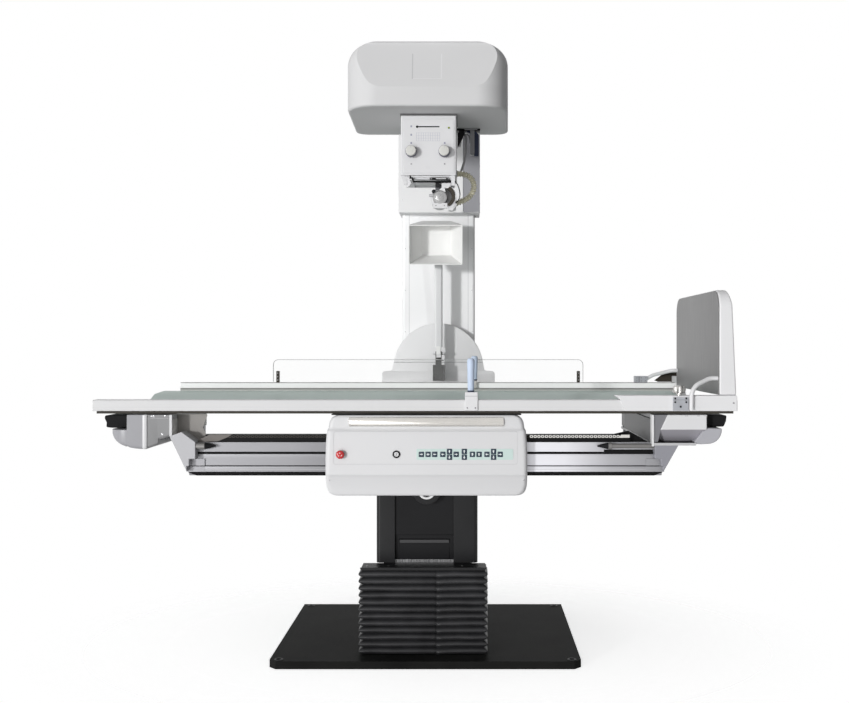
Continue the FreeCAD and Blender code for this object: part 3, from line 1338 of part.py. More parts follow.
def collimator_box():
    """Collimator housing: hollow, open below for the beam, turning on the port ring."""
    low = COLLIMATOR_BOTTOM
    top = COLLIMATOR_TOP
    wall = COLLIMATOR_WALL
    front = COLLIMATOR_FRONT
    body = focus_block(COLLIMATOR_HALF, low, top)
    body = round_along(body, "z", COLLIMATOR_EDGE_R)
    body = body.cut(focus_block(COLLIMATOR_HALF - wall, low + wall, top - COLLIMATOR_LID))
    bore_r = COLLIMATOR_PIN_R + RUN_FIT
    body = body.cut(rod((FOCUS_X, FOCUS_Y, top - 30), (FOCUS_X, FOCUS_Y, top + 1), bore_r))
    body = body.cut(focus_block(BEAM_WINDOW_HALF, low - 1, low + wall + 1))
    for x in (LEFT_KNOB_X, RIGHT_KNOB_X):
        body = body.cut(rod((x, front - 1, KNOB_Z), (x, front + 8, KNOB_Z), KNOB_SHAFT_R + RUN_FIT))
    half = SCALE_SLOT / 2
    low = top - SCALE_SLOT_DROP - SCALE_SLOT_HEIGHT / 2
    return body.cut(box(-half, half, front - 1, front + 2, low, low + SCALE_SLOT_HEIGHT))


def collimator_knob(x):
    """Ribbed knob with its shaft."""
    gap = FLAT_GAP
    y1 = COLLIMATOR_FRONT - gap
    y0 = y1 - COLLIMATOR_KNOB_LENGTH
    knob = rod((x, y0, KNOB_Z), (x, y1, KNOB_Z), COLLIMATOR_KNOB_R)
    reach = COLLIMATOR_KNOB_R + KNOB_RIB_R / 2
    for k in range(KNOB_RIBS):
        angle = 2 * math.pi * k / KNOB_RIBS
        gx = x + reach * math.cos(angle)
        gz = KNOB_Z + reach * math.sin(angle)
        knob = knob.cut(rod((gx, y0 + 5, gz), (gx, y1 + 1, gz), KNOB_RIB_R))
    shaft = rod((x, y1, KNOB_Z), (x, COLLIMATOR_FRONT + 14, KNOB_Z), KNOB_SHAFT_R)
    return knob.fuse(shaft).removeSplitter()


def filter_rails():
    """Accessory rails under the collimator, with the lever at the left."""
    z1 = COLLIMATOR_BOTTOM
    x0 = FOCUS_X - 78
    x1 = FOCUS_X + 86
    y0 = COLLIMATOR_FRONT + 10
    y1 = FOCUS_Y + COLLIMATOR_HALF - 10
    frame = box(x0, x1, y0, y1, z1 - 16, z1).cut(box(x0 + 10, x1 - 10, y0 - 1, y1 - 8, z1 - 11, z1 + 1))
    frame = frame.cut(box(x0 + 22, x1 - 22, y0 - 1, y1 - 8, z1 - 20, z1 + 1))
    lever = prism_xz([(-94, z1), (-80, z1), (-70, z1 - 28), (-76, z1 - 34), (-84, z1 - 30)], y0, y0 + 14)
    return group([frame, lever.cut(frame)])


def spot_mechanism():
    """Meter and camera block under the right half of the collimator."""
    z1 = COLLIMATOR_BOTTOM - 16
    x0 = FOCUS_X + 66
    hanger = box(x0, x0 + 20, FOCUS_Y - 50, FOCUS_Y + 60, z1 - 30, z1)
    drum = rod((40, FOCUS_Y - 66, z1 - 62), (40, FOCUS_Y + 30, z1 - 62), 30)
    drum = drum.fuse(rod((40, FOCUS_Y - 74, z1 - 62), (40, FOCUS_Y - 66, z1 - 62), 22))
    arm = box(52, x0 + 20, FOCUS_Y - 50, FOCUS_Y + 30, z1 - 78, z1 - 30)
    foot = box(78, 100, FOCUS_Y - 60, FOCUS_Y + 20, z1 - 96, z1 - 78)
    return hanger.fuse(drum).fuse(arm).fuse(foot).removeSplitter()


CONDUIT_R = 11.0


def conduit_route():
    z1 = COLLIMATOR_BOTTOM
    side = FOCUS_X + COLLIMATOR_HALF
    return [(side, -50, z1 + 26), (side + 22, -50, z1 + 26), (side + 52, -52, z1 + 14),
            (side + 66, -54, z1 - 18), (side + 56, -56, z1 - 52), (side + 28, -58, z1 - 74),
            (side - 4, -58, z1 - 84)]


def conduit():
    """Corrugated cable conduit from the collimator side to the mechanism below it."""
    return tube_path(conduit_route(), CONDUIT_R)


# ---------------------------------------------------------------- compressor
def compressor_block():
    """Bearing block and fork on the front of the pivot cover."""
    half = BLOCK_HALF
    x = COMPRESSOR_X
    y = COMPRESSOR_Y
    back = PIVOT_COVER_Y0 + 6.0
    block = box(x - half, x + half, y - 16, back, BLOCK_Z0, BLOCK_Z1)
    block = block.cut(pivot_cover())
    top = COMPRESSOR_PIVOT_Z + 12
    bar = COMPRESSOR_BAR_WIDTH / 2 - 6
    for sign in (-1, 1):
        xs = sorted((x + sign * (bar + FLAT_GAP), x + sign * half))
        block = block.fuse(box(xs[0], xs[1], y - 12, y + 12, BLOCK_Z1 - 1, top))
    block = max(block.removeSplitter().Solids, key=lambda s: s.Volume)
    z = COMPRESSOR_PIVOT_Z
    hole = rod((x - half - 1, y, z), (x + half + 1, y, z), COMPRESSOR_PIN_R + RUN_FIT)
    return block.cut(hole)


def compressor_arm():
    """Bar of the compression device with its pivot pin; parked upright."""
    x = COMPRESSOR_X
    y = COMPRESSOR_Y
    half = COMPRESSOR_BAR_WIDTH / 2
    thick = COMPRESSOR_BAR_THICK / 2
    z = COMPRESSOR_PIVOT_Z
    tongue = box(x - half + 6, x + half - 6, y - 11, y + 11, z - 10, z + 30)
    bar = box(x - half, x + half, y - thick, y + thick, z + 26, HOOD_Z0 + 60)
    bar = round_along(bar, "z", 8.0)
    pin = rod((x - BLOCK_HALF, y, z), (x + BLOCK_HALF, y, z), COMPRESSOR_PIN_R)
    return bar.fuse(tongue).fuse(pin).removeSplitter()


def hood_frame(inset, y_back):
    """Frustum that opens towards the operator and narrows upwards at its back."""
    x = COMPRESSOR_X - 9
    y0 = COMPRESSOR_Y - COMPRESSOR_BAR_THICK / 2 - HOOD_DEPTH
    half = HOOD_HALF - inset
    front = [vec(x - half, y0, HOOD_Z0 + inset), vec(x + half, y0, HOOD_Z0 + inset),
             vec(x + half, y0, HOOD_Z1 - inset), vec(x - half, y0, HOOD_Z1 - inset)]
    small = HOOD_TAPER * half
    low = HOOD_Z0 + HOOD_BACK_LOW + inset
    high = HOOD_Z1 + HOOD_BACK_HIGH - inset
    back = [vec(x - small, y_back, low), vec(x + small, y_back, low),
            vec(x + small, y_back, high), vec(x - small, y_back, high)]
    loops = [Part.makePolygon(loop + loop[:1]) for loop in (front, back)]
    return Part.makeLoft(loops, True, True)


def compressor_hood():
    """Compression hood: open box with a closed narrow back, on the end of the bar."""
    y1 = COMPRESSOR_Y - COMPRESSOR_BAR_THICK / 2
    x = COMPRESSOR_X
    outer = hood_frame(0.0, y1)
    back = outer.common(box(x - HOOD_HALF, x + HOOD_HALF, y1 - HOOD_BACK, y1, HOOD_Z0, 2 * HOOD_Z1))
    return outer.cut(hood_frame(HOOD_WALL, y1)).fuse(back).removeSplitter()


# ---------------------------------------------------------------- the assembly
def build():
    pieces = {
        "floor_plate": floor_plate(), "mast": mast(), "lift_screw": lift_screw(),
        "lift_sleeve": group([lift_sleeve(), lift_nut()]),
        "upright_tube": upright_tube(), "upright_shell": upright_shell(),
        "upright_front_panels": upright_front_panels(), "trunnion_bearings": trunnion_bearings(),
        "tilt_gearmotor": tilt_gearmotor(), "bellows": bellows(), "bellows_top_frame": bellows_top_frame(),
        "carriage_plates": carriage_plates(), "trunnions": trunnions(),
        "receptor_housing": receptor_housing(),
        "beam_guides": beam_guides(), "front_cover": front_cover(), "cover_brackets": cover_brackets(),
        "hand_rail": hand_rail(), "control_foil": control_foil(), "control_pads": control_pads(),
        "switch_collars": switch_collars(), "stop_button": stop_button(), "key_rotor": key_rotor(),
        "side_beams": side_beams(), "beam_arms": beam_arms(), "end_frames": end_frames(),
        "slide_rails": slide_rails(), "end_covers": end_covers(), "end_bumpers": end_bumpers(),
        "rack_tray": rack_tray(), "buffer_rods": buffer_rods(), "buffer_tips": buffer_tips(),
        "table_panel": table_panel(), "front_rail": front_rail(), "rear_rail": rear_rail(),
        "table_crossbars": table_crossbars(), "side_screen": side_screen(), "screen_clamps": screen_clamps(),
        "front_grip": grip(FRONT_GRIP_X, FRONT_GRIP_Y, FRONT_RAIL_TOP + GRIP_SEAT),
        "front_grip_clamp": front_grip_clamp(),
        "rear_grip": grip(REAR_GRIP_X, REAR_GRIP_Y + 2, REAR_RAIL_TOP + SOFT_GAP + 8),
        "rear_grip_clamp": rear_grip_clamp(),
        "footrest_casing": footrest_casing(), "foot_plate": foot_plate(), "footrest_frame": footrest_frame(),
        "footrest_tubes": footrest_tubes(), "footrest_clamps": footrest_clamps(), "clamp_knob": clamp_knob(),
        "column_bracket": column_bracket(), "pivot_cover": pivot_cover(), "column_shell": column_shell(),
        "sid_carriage": group([sid_carriage(), support_arm()]), "head_cover": head_cover(),
        "tube_housing": group([tube_housing()] + head_seats().Solids + [side_bracket()]),
        "collimator_box": group([collimator_box()] + filter_rails().Solids + [spot_mechanism()]),
        "left_knob": collimator_knob(LEFT_KNOB_X), "right_knob": collimator_knob(RIGHT_KNOB_X),
        "conduit": conduit(), "compressor": group([compressor_arm(), compressor_hood()]),
        "compressor_block": compressor_block(),
    }
    for name, shape in pieces.items():
        write(name, shape)
    print(len(pieces), "nodes")


build()
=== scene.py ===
import json
import math

import bmesh
import bpy
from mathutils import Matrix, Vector


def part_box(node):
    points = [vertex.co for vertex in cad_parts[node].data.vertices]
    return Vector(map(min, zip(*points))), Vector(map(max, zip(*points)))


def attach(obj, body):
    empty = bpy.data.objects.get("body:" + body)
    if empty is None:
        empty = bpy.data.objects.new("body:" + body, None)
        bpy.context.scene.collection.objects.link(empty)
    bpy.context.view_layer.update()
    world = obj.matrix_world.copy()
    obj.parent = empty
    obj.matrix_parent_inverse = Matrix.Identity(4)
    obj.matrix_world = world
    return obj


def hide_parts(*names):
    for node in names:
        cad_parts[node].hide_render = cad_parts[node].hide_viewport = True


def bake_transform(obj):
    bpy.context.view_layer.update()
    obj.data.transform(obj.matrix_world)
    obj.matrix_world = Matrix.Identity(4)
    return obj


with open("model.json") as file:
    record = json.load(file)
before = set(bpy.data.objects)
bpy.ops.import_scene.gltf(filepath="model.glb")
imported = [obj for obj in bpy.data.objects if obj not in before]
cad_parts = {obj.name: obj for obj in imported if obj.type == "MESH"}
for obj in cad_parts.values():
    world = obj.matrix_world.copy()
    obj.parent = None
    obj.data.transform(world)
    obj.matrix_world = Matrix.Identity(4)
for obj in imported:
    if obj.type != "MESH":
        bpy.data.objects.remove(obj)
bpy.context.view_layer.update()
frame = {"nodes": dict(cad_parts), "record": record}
NODES = frame["nodes"]
BODY_OF = {}
for body_name, members in frame["record"]["behaviour"]["bodies"].items():
    for member in members:
        BODY_OF[member] = body_name

# ---------------------------------------------------------------- measures, metres
# camera: level, square to the table, a little right of its middle
CAMERA_PLACE = (0.1433, -3.780, 1.076)
LENS = 43.25
SENSOR = 36.0
SHIFT = (-0.0512, -0.0058)

# where the light comes from, and how strong it is
KEY_FROM = (-0.56, -0.80, 0.05)
KEY_STRENGTH = 1.75
KEY_SPREAD = 5.0
FILL_FROM = (-0.50, -1.0, -0.42)
FILL_STRENGTH = 0.62
FILL_SPREAD = 40.0
SKY_BRIGHT_SIDE = (-0.62, -0.75, 0.08)
SKY_DARK = 0.03
SKY_LIGHT = 0.62

# ---------------------------------------------------------------- materials
PAINT = {}
GRAIN_DEPTH = 0.0006
COAT_ROUGH = 0.12


def new_material(name):
    material = bpy.data.materials.new(name)
    material.use_nodes = True
    tree = material.node_tree
    PAINT[name] = material
    return material, tree, tree.nodes["Principled BSDF"]


def feed(tree, node, inputs):
    """Set the inputs of a node, each to a value or to the socket that feeds it."""
    for key, value in inputs.items():
        if isinstance(value, bpy.types.NodeSocket):
            tree.links.new(value, node.inputs[key])
        else:
            node.inputs[key].default_value = value


def add(tree, kind, inputs, output, **settings):
    """New shader node with its settings and inputs. Gives the named output."""
    node = tree.nodes.new("ShaderNode" + kind)
    for key, value in settings.items():
        setattr(node, key, value)
    feed(tree, node, inputs)
    return node.outputs[output]


def noise(tree, scale, detail=4.0, stretch=(1, 1, 1)):
    """Noise in object space, stretched along an axis for brushed or extruded metal."""
    place = add(tree, "Mapping", {"Vector": add(tree, "TexCoord", {}, "Object"), "Scale": stretch}, "Vector")
    return add(tree, "TexNoise", {"Vector": place, "Scale": scale, "Detail": detail}, "Fac")


def ramp(tree, source, low, high, start=0.35, end=0.65):
    return add(tree, "MapRange", {"Value": source, "From Min": start, "From Max": end, "To Min": low,
                                  "To Max": high},
               "Result")


def surface(name, colour, rough, vary, grain, bump, metallic=0.0, patch=3.0, rough_vary=0.06, coat=0.0,
            stretch=(1, 1, 1), gloss=0.3):
    """Painted, moulded or metal surface: soft colour patches, roughness patches and a fine grain."""
    tree, shader = new_material(name)[1:]
    dark = [c * (1 - vary) for c in colour]
    pale = [min(1.0, c * (1 + vary)) for c in colour]
    shade = ramp(tree, noise(tree, patch), 0.0, 1.0, 0.3, 0.7)
    fine = noise(tree, grain, 2.0, stretch)
    feed(tree, shader, {
        "Base Color": add(tree, "Mix", {"A": (*dark, 1), "B": (*pale, 1), "Factor": shade}, "Result",
                          data_type="RGBA"),
        "Roughness": ramp(tree, fine, rough - rough_vary, rough + rough_vary),
        "Normal": add(tree, "Bump", {"Height": fine, "Strength": bump, "Distance": GRAIN_DEPTH}, "Normal"),
        "Metallic": metallic, "Coat Weight": coat, "Coat Roughness": COAT_ROUGH, "Specular IOR Level": gloss})


ALONG_X = (0.012, 1, 1)
ALONG_Z = (1, 1, 0.012)

# name, colour, roughness, colour drift, scale and strength of the grain, and what is its own
SURFACES = (
    ("white_moulding", (0.68, 0.68, 0.69), 0.42, 0.012, 1400, 0.05),
    ("white_shade", (0.7, 0.7, 0.715), 0.4, 0.012, 1400, 0.05),
    ("shell_grey", (0.34, 0.34, 0.36), 0.36, 0.012, 1400, 0.05),
    ("head_white", (0.62, 0.62, 0.625), 0.55, 0.012, 1400, 0.05, dict(gloss=0.2)),
    ("column_white", (0.92, 0.92, 0.925), 0.42, 0.012, 1400, 0.05),
    ("casing_white", (0.73, 0.73, 0.74), 0.42, 0.012, 1400, 0.05),
    ("pivot_white", (0.8, 0.8, 0.805), 0.42, 0.012, 1400, 0.05),
    ("rail_paint", (0.69, 0.69, 0.695), 0.33, 0.02, 500, 0.03, dict(stretch=ALONG_X)),
    ("rear_rail_paint", (0.94, 0.94, 0.935), 0.36, 0.02, 500, 0.03, dict(stretch=ALONG_X)),
    ("pad_slate", (0.02, 0.036, 0.055), 0.4, 0.1, 1500, 0.08),
    ("knob_side", (0.13, 0.13, 0.17), 0.45, 0.1, 1500, 0.08),
    ("print_white", (0.75, 0.8, 0.8), 0.5, 0.02, 1500, 0.02),
    ("print_pale", (0.44, 0.58, 0.56), 0.5, 0.02, 1500, 0.02),
    ("chrome_ring", (0.75, 0.75, 0.76), 0.1, 0.02, 900, 0.01, dict(metallic=1.0)),
    ("lamp_green", (0.3, 0.42, 0.02), 0.3, 0.02, 900, 0.01),
    ("panel_grey", (0.27, 0.27, 0.275), 0.38, 0.02, 1400, 0.05),
    ("face_shade", (0.36, 0.35, 0.385), 0.36, 0.02, 1400, 0.05),
    ("end_grey", (0.4, 0.4, 0.43), 0.34, 0.02, 1400, 0.05),
    ("edge_bright", (0.72, 0.72, 0.73), 0.34, 0.02, 1400, 0.04),
    ("edge_plate", (0.5, 0.5, 0.51), 0.34, 0.02, 1400, 0.04),
    ("gusset_shade", (0.27, 0.27, 0.3), 0.4, 0.05, 1300, 0.05),
    ("frame_shade", (0.05, 0.05, 0.053), 0.4, 0.05, 1300, 0.05),
    ("print_faint", (0.47, 0.48, 0.54), 0.5, 0.03, 1500, 0.02),
    ("print_pale_grey", (0.66, 0.66, 0.67), 0.5, 0.03, 1500, 0.02),
    ("print_mark", (0.3, 0.31, 0.38), 0.5, 0.03, 1500, 0.02),
    ("head_gap", (0.48, 0.48, 0.49), 0.5, 0.03, 1400, 0.03),
    ("head_gap_faint", (0.62, 0.62, 0.63), 0.5, 0.03, 1400, 0.03),
    ("border_mid", (0.36, 0.36, 0.345), 0.4, 0.04, 500, 0.04),
    ("border_pale", (0.5, 0.51, 0.49), 0.4, 0.04, 500, 0.04),
    ("white_paint", (0.72, 0.72, 0.73), 0.38, 0.015, 1100, 0.05),
    ("black_paint", (0.011, 0.011, 0.012), 0.42, 0.25, 1300, 0.16, dict(patch=6, rough_vary=0.08, gloss=0.2)),
    ("plate_black", (0.016, 0.016, 0.0155), 0.5, 0.35, 800, 0.1, dict(patch=4, rough_vary=0.1, gloss=0.02)),
    ("bellows_cloth", (0.026, 0.026, 0.028), 0.45, 0.3, 1800, 0.22, dict(patch=14, rough_vary=0.1)),
    ("ground_steel", (0.56, 0.56, 0.57), 0.28, 0.08, 600, 0.05, dict(metallic=1.0, stretch=ALONG_Z)),
    ("casting_grey", (0.12, 0.12, 0.13), 0.55, 0.1, 500, 0.3),
    ("beam_metal", (0.31, 0.31, 0.33), 0.36, 0.03, 900, 0.03,
     dict(metallic=0.45, patch=2, rough_vary=0.03, stretch=ALONG_X)),
    ("strip_steel", (0.63, 0.61, 0.58), 0.24, 0.06, 900, 0.05, dict(metallic=1.0, stretch=ALONG_X)),
    ("foot_steel", (0.18, 0.178, 0.18), 0.38, 0.12, 700, 0.07,
     dict(metallic=0.5, patch=2.2, stretch=ALONG_Z)),
    ("clamp_metal", (0.58, 0.57, 0.55), 0.32, 0.08, 1200, 0.06, dict(metallic=1.0)),
    ("rack_black", (0.007, 0.007, 0.0075), 0.35, 0.2, 900, 0.15, dict(gloss=0.08)),
    ("bumper_rubber", (0.012, 0.012, 0.013), 0.62, 0.3, 1500, 0.2, dict(patch=12, gloss=0.08)),
    ("dark_plastic", (0.02, 0.02, 0.022), 0.45, 0.2, 1200, 0.15, dict(gloss=0.08)),
    ("stop_red", (0.52, 0.012, 0.016), 0.22, 0.05, 1200, 0.02, dict(coat=0.4)),
    ("foil_green", (0.56, 0.68, 0.65), 0.42, 0.02, 1500, 0.08),
    ("print_grey", (0.38, 0.38, 0.42), 0.5, 0.05, 1500, 0.02),
    ("top_laminate", (0.65, 0.76, 0.72), 0.42, 0.05, 300, 0.015, dict(patch=1.5, stretch=(0.05, 1, 1))),
    ("top_border", (0.2, 0.2, 0.19), 0.4, 0.05, 500, 0.04),
    ("grip_blue", (0.56, 0.65, 0.8), 0.45, 0.05, 1500, 0.12, dict(patch=18)),
    ("grip_navy", (0.016, 0.024, 0.058), 0.4, 0.1, 1500, 0.1),
    ("knob_grey", (0.6, 0.6, 0.57), 0.45, 0.03, 1500, 0.08),
    ("lead_grey", (0.3, 0.3, 0.31), 0.45, 0.06, 900, 0.15),
    ("conduit_beige", (0.72, 0.69, 0.54), 0.4, 0.1, 1200, 0.05, dict(patch=30)),
    ("cable_grey", (0.42, 0.42, 0.43), 0.48, 0.06, 1200, 0.06),
    ("white_edge", (0.62, 0.62, 0.63), 0.4, 0.02, 1200, 0.03),
    ("joint_shadow", (0.16, 0.16, 0.165), 0.6, 0.1, 900, 0.02),
    ("joint_shadow_light", (0.52, 0.52, 0.53), 0.6, 0.05, 900, 0.02),
    ("grey_side", (0.3, 0.3, 0.32), 0.42, 0.05, 900, 0.04, dict(patch=5)),
    ("stop_red_dark", (0.3, 0.01, 0.012), 0.35, 0.1, 1200, 0.03),
    ("screw_metal", (0.42, 0.42, 0.43), 0.3, 0.08, 1500, 0.03, dict(metallic=1.0)),
    ("box_shade", (0.2, 0.2, 0.215), 0.4, 0.05, 1400, 0.05),
    ("gusset_pale", (0.5, 0.5, 0.52), 0.38, 0.02, 1300, 0.05),
    ("frame_taupe", (0.97, 0.95, 0.92), 0.45, 0.03, 1300, 0.05),
    ("panel_black", (0.006, 0.006, 0.007), 0.45, 0.25, 1300, 0.14, dict(patch=6, gloss=0.15)),
    ("niche_edge", (0.045, 0.045, 0.047), 0.4, 0.1, 1300, 0.1),
    ("ground_grey", (0.34, 0.34, 0.34), 0.3, 0.1, 900, 0.04, dict(metallic=0.8)),
    ("dark_bronze", (0.05, 0.044, 0.036), 0.45, 0.2, 900, 0.1, dict(gloss=0.08)),
    ("hood_inside", (0.82, 0.82, 0.81), 0.45, 0.02, 1200, 0.04),
    ("chain_bright", (0.7, 0.69, 0.66), 0.25, 0.1, 1500, 0.04, dict(metallic=1.0)),
    ("lip_bronze", (0.055, 0.05, 0.043), 0.45, 0.1, 900, 0.06, dict(gloss=0.08)),
    ("screen_edge", (0.42, 0.42, 0.42), 0.35, 0.05, 900, 0.03),
    ("block_grey", (0.4, 0.41, 0.44), 0.42, 0.08, 1300, 0.08, dict(patch=20)),
    ("block_dark", (0.05, 0.048, 0.046), 0.42, 0.15, 1300, 0.12, dict(patch=18)),
    ("rod_steel", (0.2, 0.195, 0.19), 0.36, 0.1, 900, 0.03, dict(metallic=0.6, stretch=ALONG_X)),
    ("chain_dark", (0.05, 0.046, 0.042), 0.4, 0.2, 1500, 0.06, dict(gloss=0.08)),
    ("web_taupe", (0.3, 0.285, 0.27), 0.45, 0.04, 1300, 0.05),
    ("tray_brown", (0.16, 0.145, 0.135), 0.42, 0.1, 1300, 0.05))
for *row, last in SURFACES:
    if isinstance(last, dict):
        surface(*row, **last)
    else:
        surface(*row, last)


def acrylic():
    """Clear sheet: mostly see-through, with a faint reflection and slight dust."""
    material, tree, shader = new_material("clear_sheet")
    dust = noise(tree, 6.0)
    feed(tree, shader, {"Roughness": ramp(tree, dust, 0.03, 0.09), "Alpha": ramp(tree, dust, 0.035, 0.055),
                        "Base Color": (0.90, 0.92, 0.92, 1), "IOR": 1.49})
    material.blend_method = "BLEND"


acrylic()


def painted_sheen_along(name, stops):
    """Painted sheen: the profile's tone goes lighter and darker along its length as light falls on it, from
    (place in metres, level) stops.
    """
    tree = PAINT[name].node_tree
    start, end = stops[0][0], stops[-1][0]
    split = tree.nodes.new("ShaderNodeSeparateXYZ")
    tone = tree.nodes.new("ShaderNodeValToRGB")
    while len(tone.color_ramp.elements) < len(stops):
        tone.color_ramp.elements.new(0.5)
    for element, (x, level) in zip(tone.color_ramp.elements, stops):
        element.position = (x - start) / (end - start)
        element.color = (level, level, level * 1.05, 1)
    feed(tree, split, {"Vector": add(tree, "TexCoord", {}, "Object")})
    feed(tree, tone, {"Fac": ramp(tree, split.outputs["X"], 0.0, 1.0, start, end)})
    feed(tree, tree.nodes["Principled BSDF"], {"Base Color": tone.outputs["Color"]})


# painted sheen on the beams: lightest just right of the middle, darker towards both ends
painted_sheen_along("beam_metal", ((-0.80, 0.29), (-0.45, 0.27), (-0.33, 0.22), (0.26, 0.50), (0.32, 0.78),
                           (0.47, 0.72), (0.62, 0.42), (0.80, 0.27)))

# ---------------------------------------------------------------- building meshes, millimetres
# metres in a millimetre, degrees for a rounded edge, metres for one vertex, degrees for one flat face
MM = 0.001
ROUND_ABOVE = 32.0
WELD = 1e-6
CAD_WELD = 1e-5
FLAT_WITHIN = 1.0


def linked(name, data):
    """New object in the scene."""
    obj = bpy.data.objects.new(name, data)
    bpy.context.scene.collection.objects.link(obj)
    return obj


def smooth(obj, angle):
    obj.data.shade_smooth()
    obj.data.set_sharp_from_angle(angle=math.radians(angle))


def round_edges(obj, width, segments):
    """Round the edges that turn by more than ROUND_ABOVE."""
    edges = obj.modifiers.new("round", "BEVEL")
    edges.width = width
    edges.segments = segments
    edges.limit_method = "ANGLE"
    edges.angle_limit = math.radians(ROUND_ABOVE)
    edges.use_clamp_overlap = True
    edges.harden_normals = True


def circle(centre, side, up, radii):
    """Closed loop round a centre, with a radius for each of its points."""
    turns = [2 * math.pi * k / len(radii) for k in range(len(radii))]
    return [centre + side * r * math.cos(turn) + up * r * math.sin(turn) for r, turn in zip(radii, turns)]


X_AXIS, Y_AXIS, Z_AXIS = Vector((1, 0, 0)), Vector((0, 1, 0)), Vector((0, 0, 1))
FORWARD = (0, -1, 0)


class Shape:
    """A mesh built up from simple forms in millimetres, each with its own paint."""

    def __init__(self):
        self.mesh = bmesh.new()
        self.paints = []

    def paint_number(self, name):
        if name not in self.paints:
            self.paints.append(name)
        return self.paints.index(name)

    def loft(self, loops, paint_name, caps=True):
        """Skin over loops of (x, y, z) that all have the same number of points, with or without its ends."""
        rows = [[self.mesh.verts.new(Vector(p) * MM) for p in loop] for loop in loops]
        count = len(rows[0])
        faces = [(low[k], low[(k + 1) % count], high[(k + 1) % count], high[k])
                 for low, high in zip(rows, rows[1:]) for k in range(count)]
        if caps:
            faces += [rows[0][::-1], rows[-1]]
        number = self.paint_number(paint_name)
        for corners in faces:
            self.mesh.faces.new(corners).material_index = number

    def prism(self, outline, low, high, paint_name):
        """Outline of (x, z) points, swept along Y from low to high."""
        self.loft([[(x, y, z) for x, z in outline] for y in (low, high)], paint_name)

    def box(self, x, y, z, paint_name):
        plan = [(x[0], y[0]), (x[1], y[0]), (x[1], y[1]), (x[0], y[1])]
        self.loft([[(a, b, c) for a, b in plan] for c in z], paint_name)

    def lathe(self, start, direction, profile, paint_name, segments=32, caps=True):
        """Round form: profile gives (distance along the axis, radius)."""
        axis = Vector(direction).normalized()
        side = axis.orthogonal().normalized()
        up = axis.cross(side)
        loops = [circle(Vector(start) + axis * run, side, up, [radius] * segments) for run, radius in profile]
        self.loft(loops, paint_name, caps)

    def ring(self, start, end, outer, inner, paint_name, segments=40):
        """Flat ring or short tube, with soft outer edges."""
        run = (Vector(end) - Vector(start)).length
        soft = min(0.8, run * 0.3)
        profile = [(run, inner), (run, outer - soft), (run - soft, outer), (soft, outer), (0, outer - soft),
                   (0, inner)]
        self.lathe(start, Vector(end) - Vector(start), profile + profile[:1], paint_name, segments, False)

    def screw(self, place, direction, radius, paint_name="screw_metal"):
        """Low round screw head with a dark recess."""
        axis = Vector(direction).normalized()
        base = Vector(place)
        self.lathe(base, axis, [(-1, radius), (0.6, radius), (1.2, radius * 0.8), (1.2, radius * 0.42)],
                   paint_name, 20)
        self.lathe(base + axis * 1.21, axis, [(0, radius * 0.42), (0.02, radius * 0.40)], "dark_plastic", 6)

    def screws(self, xs, y, zs, radius, paint_name="screw_metal"):
        """Screws that face forward, at every x and z."""
        for x in xs:
            for z in zs:
                self.screw((x, y, z), FORWARD, radius, paint_name)

    def piece(self, name, node, bevel=0.0, segments=3, sharp=38.0, replaces=False, rides=True):
        """Turn the shape into an object that rides on the body of a CAD node unless told not to, and may
        replace that node.
        """
        bmesh.ops.remove_doubles(self.mesh, verts=self.mesh.verts, dist=WELD)
        bmesh.ops.recalc_face_normals(self.mesh, faces=self.mesh.faces)
        data = bpy.data.meshes.new(name)
        self.mesh.to_mesh(data)
        self.mesh.free()
        obj = linked(name, data)
        for paint_name in self.paints:
            data.materials.append(PAINT[paint_name])
        if bevel:
            round_edges(obj, bevel, segments)
        smooth(obj, sharp)
        if rides:
            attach(obj, BODY_OF[node])
        if replaces:
            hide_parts(node)
        return obj


def corner_arc(cx, cz, radius, start, end, steps=6):
    """Points along an arc, angles in degrees."""
    turns = [math.radians(start + (end - start) * k / steps) for k in range(steps + 1)]
    return [(cx + radius * math.cos(turn), cz + radius * math.sin(turn)) for turn in turns]


def rounded_rectangle(x0, x1, z0, z1, radius, steps=6, top=None):
    """Outline with rounded corners. The upper two may have a radius of their own."""
    top = top or radius
    points = corner_arc(x0 + radius, z0 + radius, radius, 180, 270, steps)
    points += corner_arc(x1 - radius, z0 + radius, radius, 270, 360, steps)
    points += corner_arc(x1 - top, z1 - top, top, 0, 90, steps)
    points += corner_arc(x0 + top, z1 - top, top, 90, 180, steps)
    return points


# ---------------------------------------------------------------- finishing the CAD nodes
def paint(obj, name):
    obj.data.materials.clear()
    obj.data.materials.append(PAINT[name])


def softened(node, material, width):
    """The CAD node with its hard edges rounded, as moulded or powder-coated pieces have them."""
    mesh = NODES[node].data.copy()
    shape = bmesh.new()
    shape.from_mesh(mesh)
    bmesh.ops.remove_doubles(shape, verts=shape.verts, dist=CAD_WELD)
    bmesh.ops.dissolve_limit(shape, angle_limit=math.radians(FLAT_WITHIN), verts=shape.verts,
                             edges=shape.edges)
    shape.to_mesh(mesh)
    shape.free()
    piece = linked(node + "_finished", mesh)
    paint(piece, material)
    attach(piece, BODY_OF[node])
    round_edges(piece, width, 3)
    smooth(piece, 40)
    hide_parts(node)
    return piece


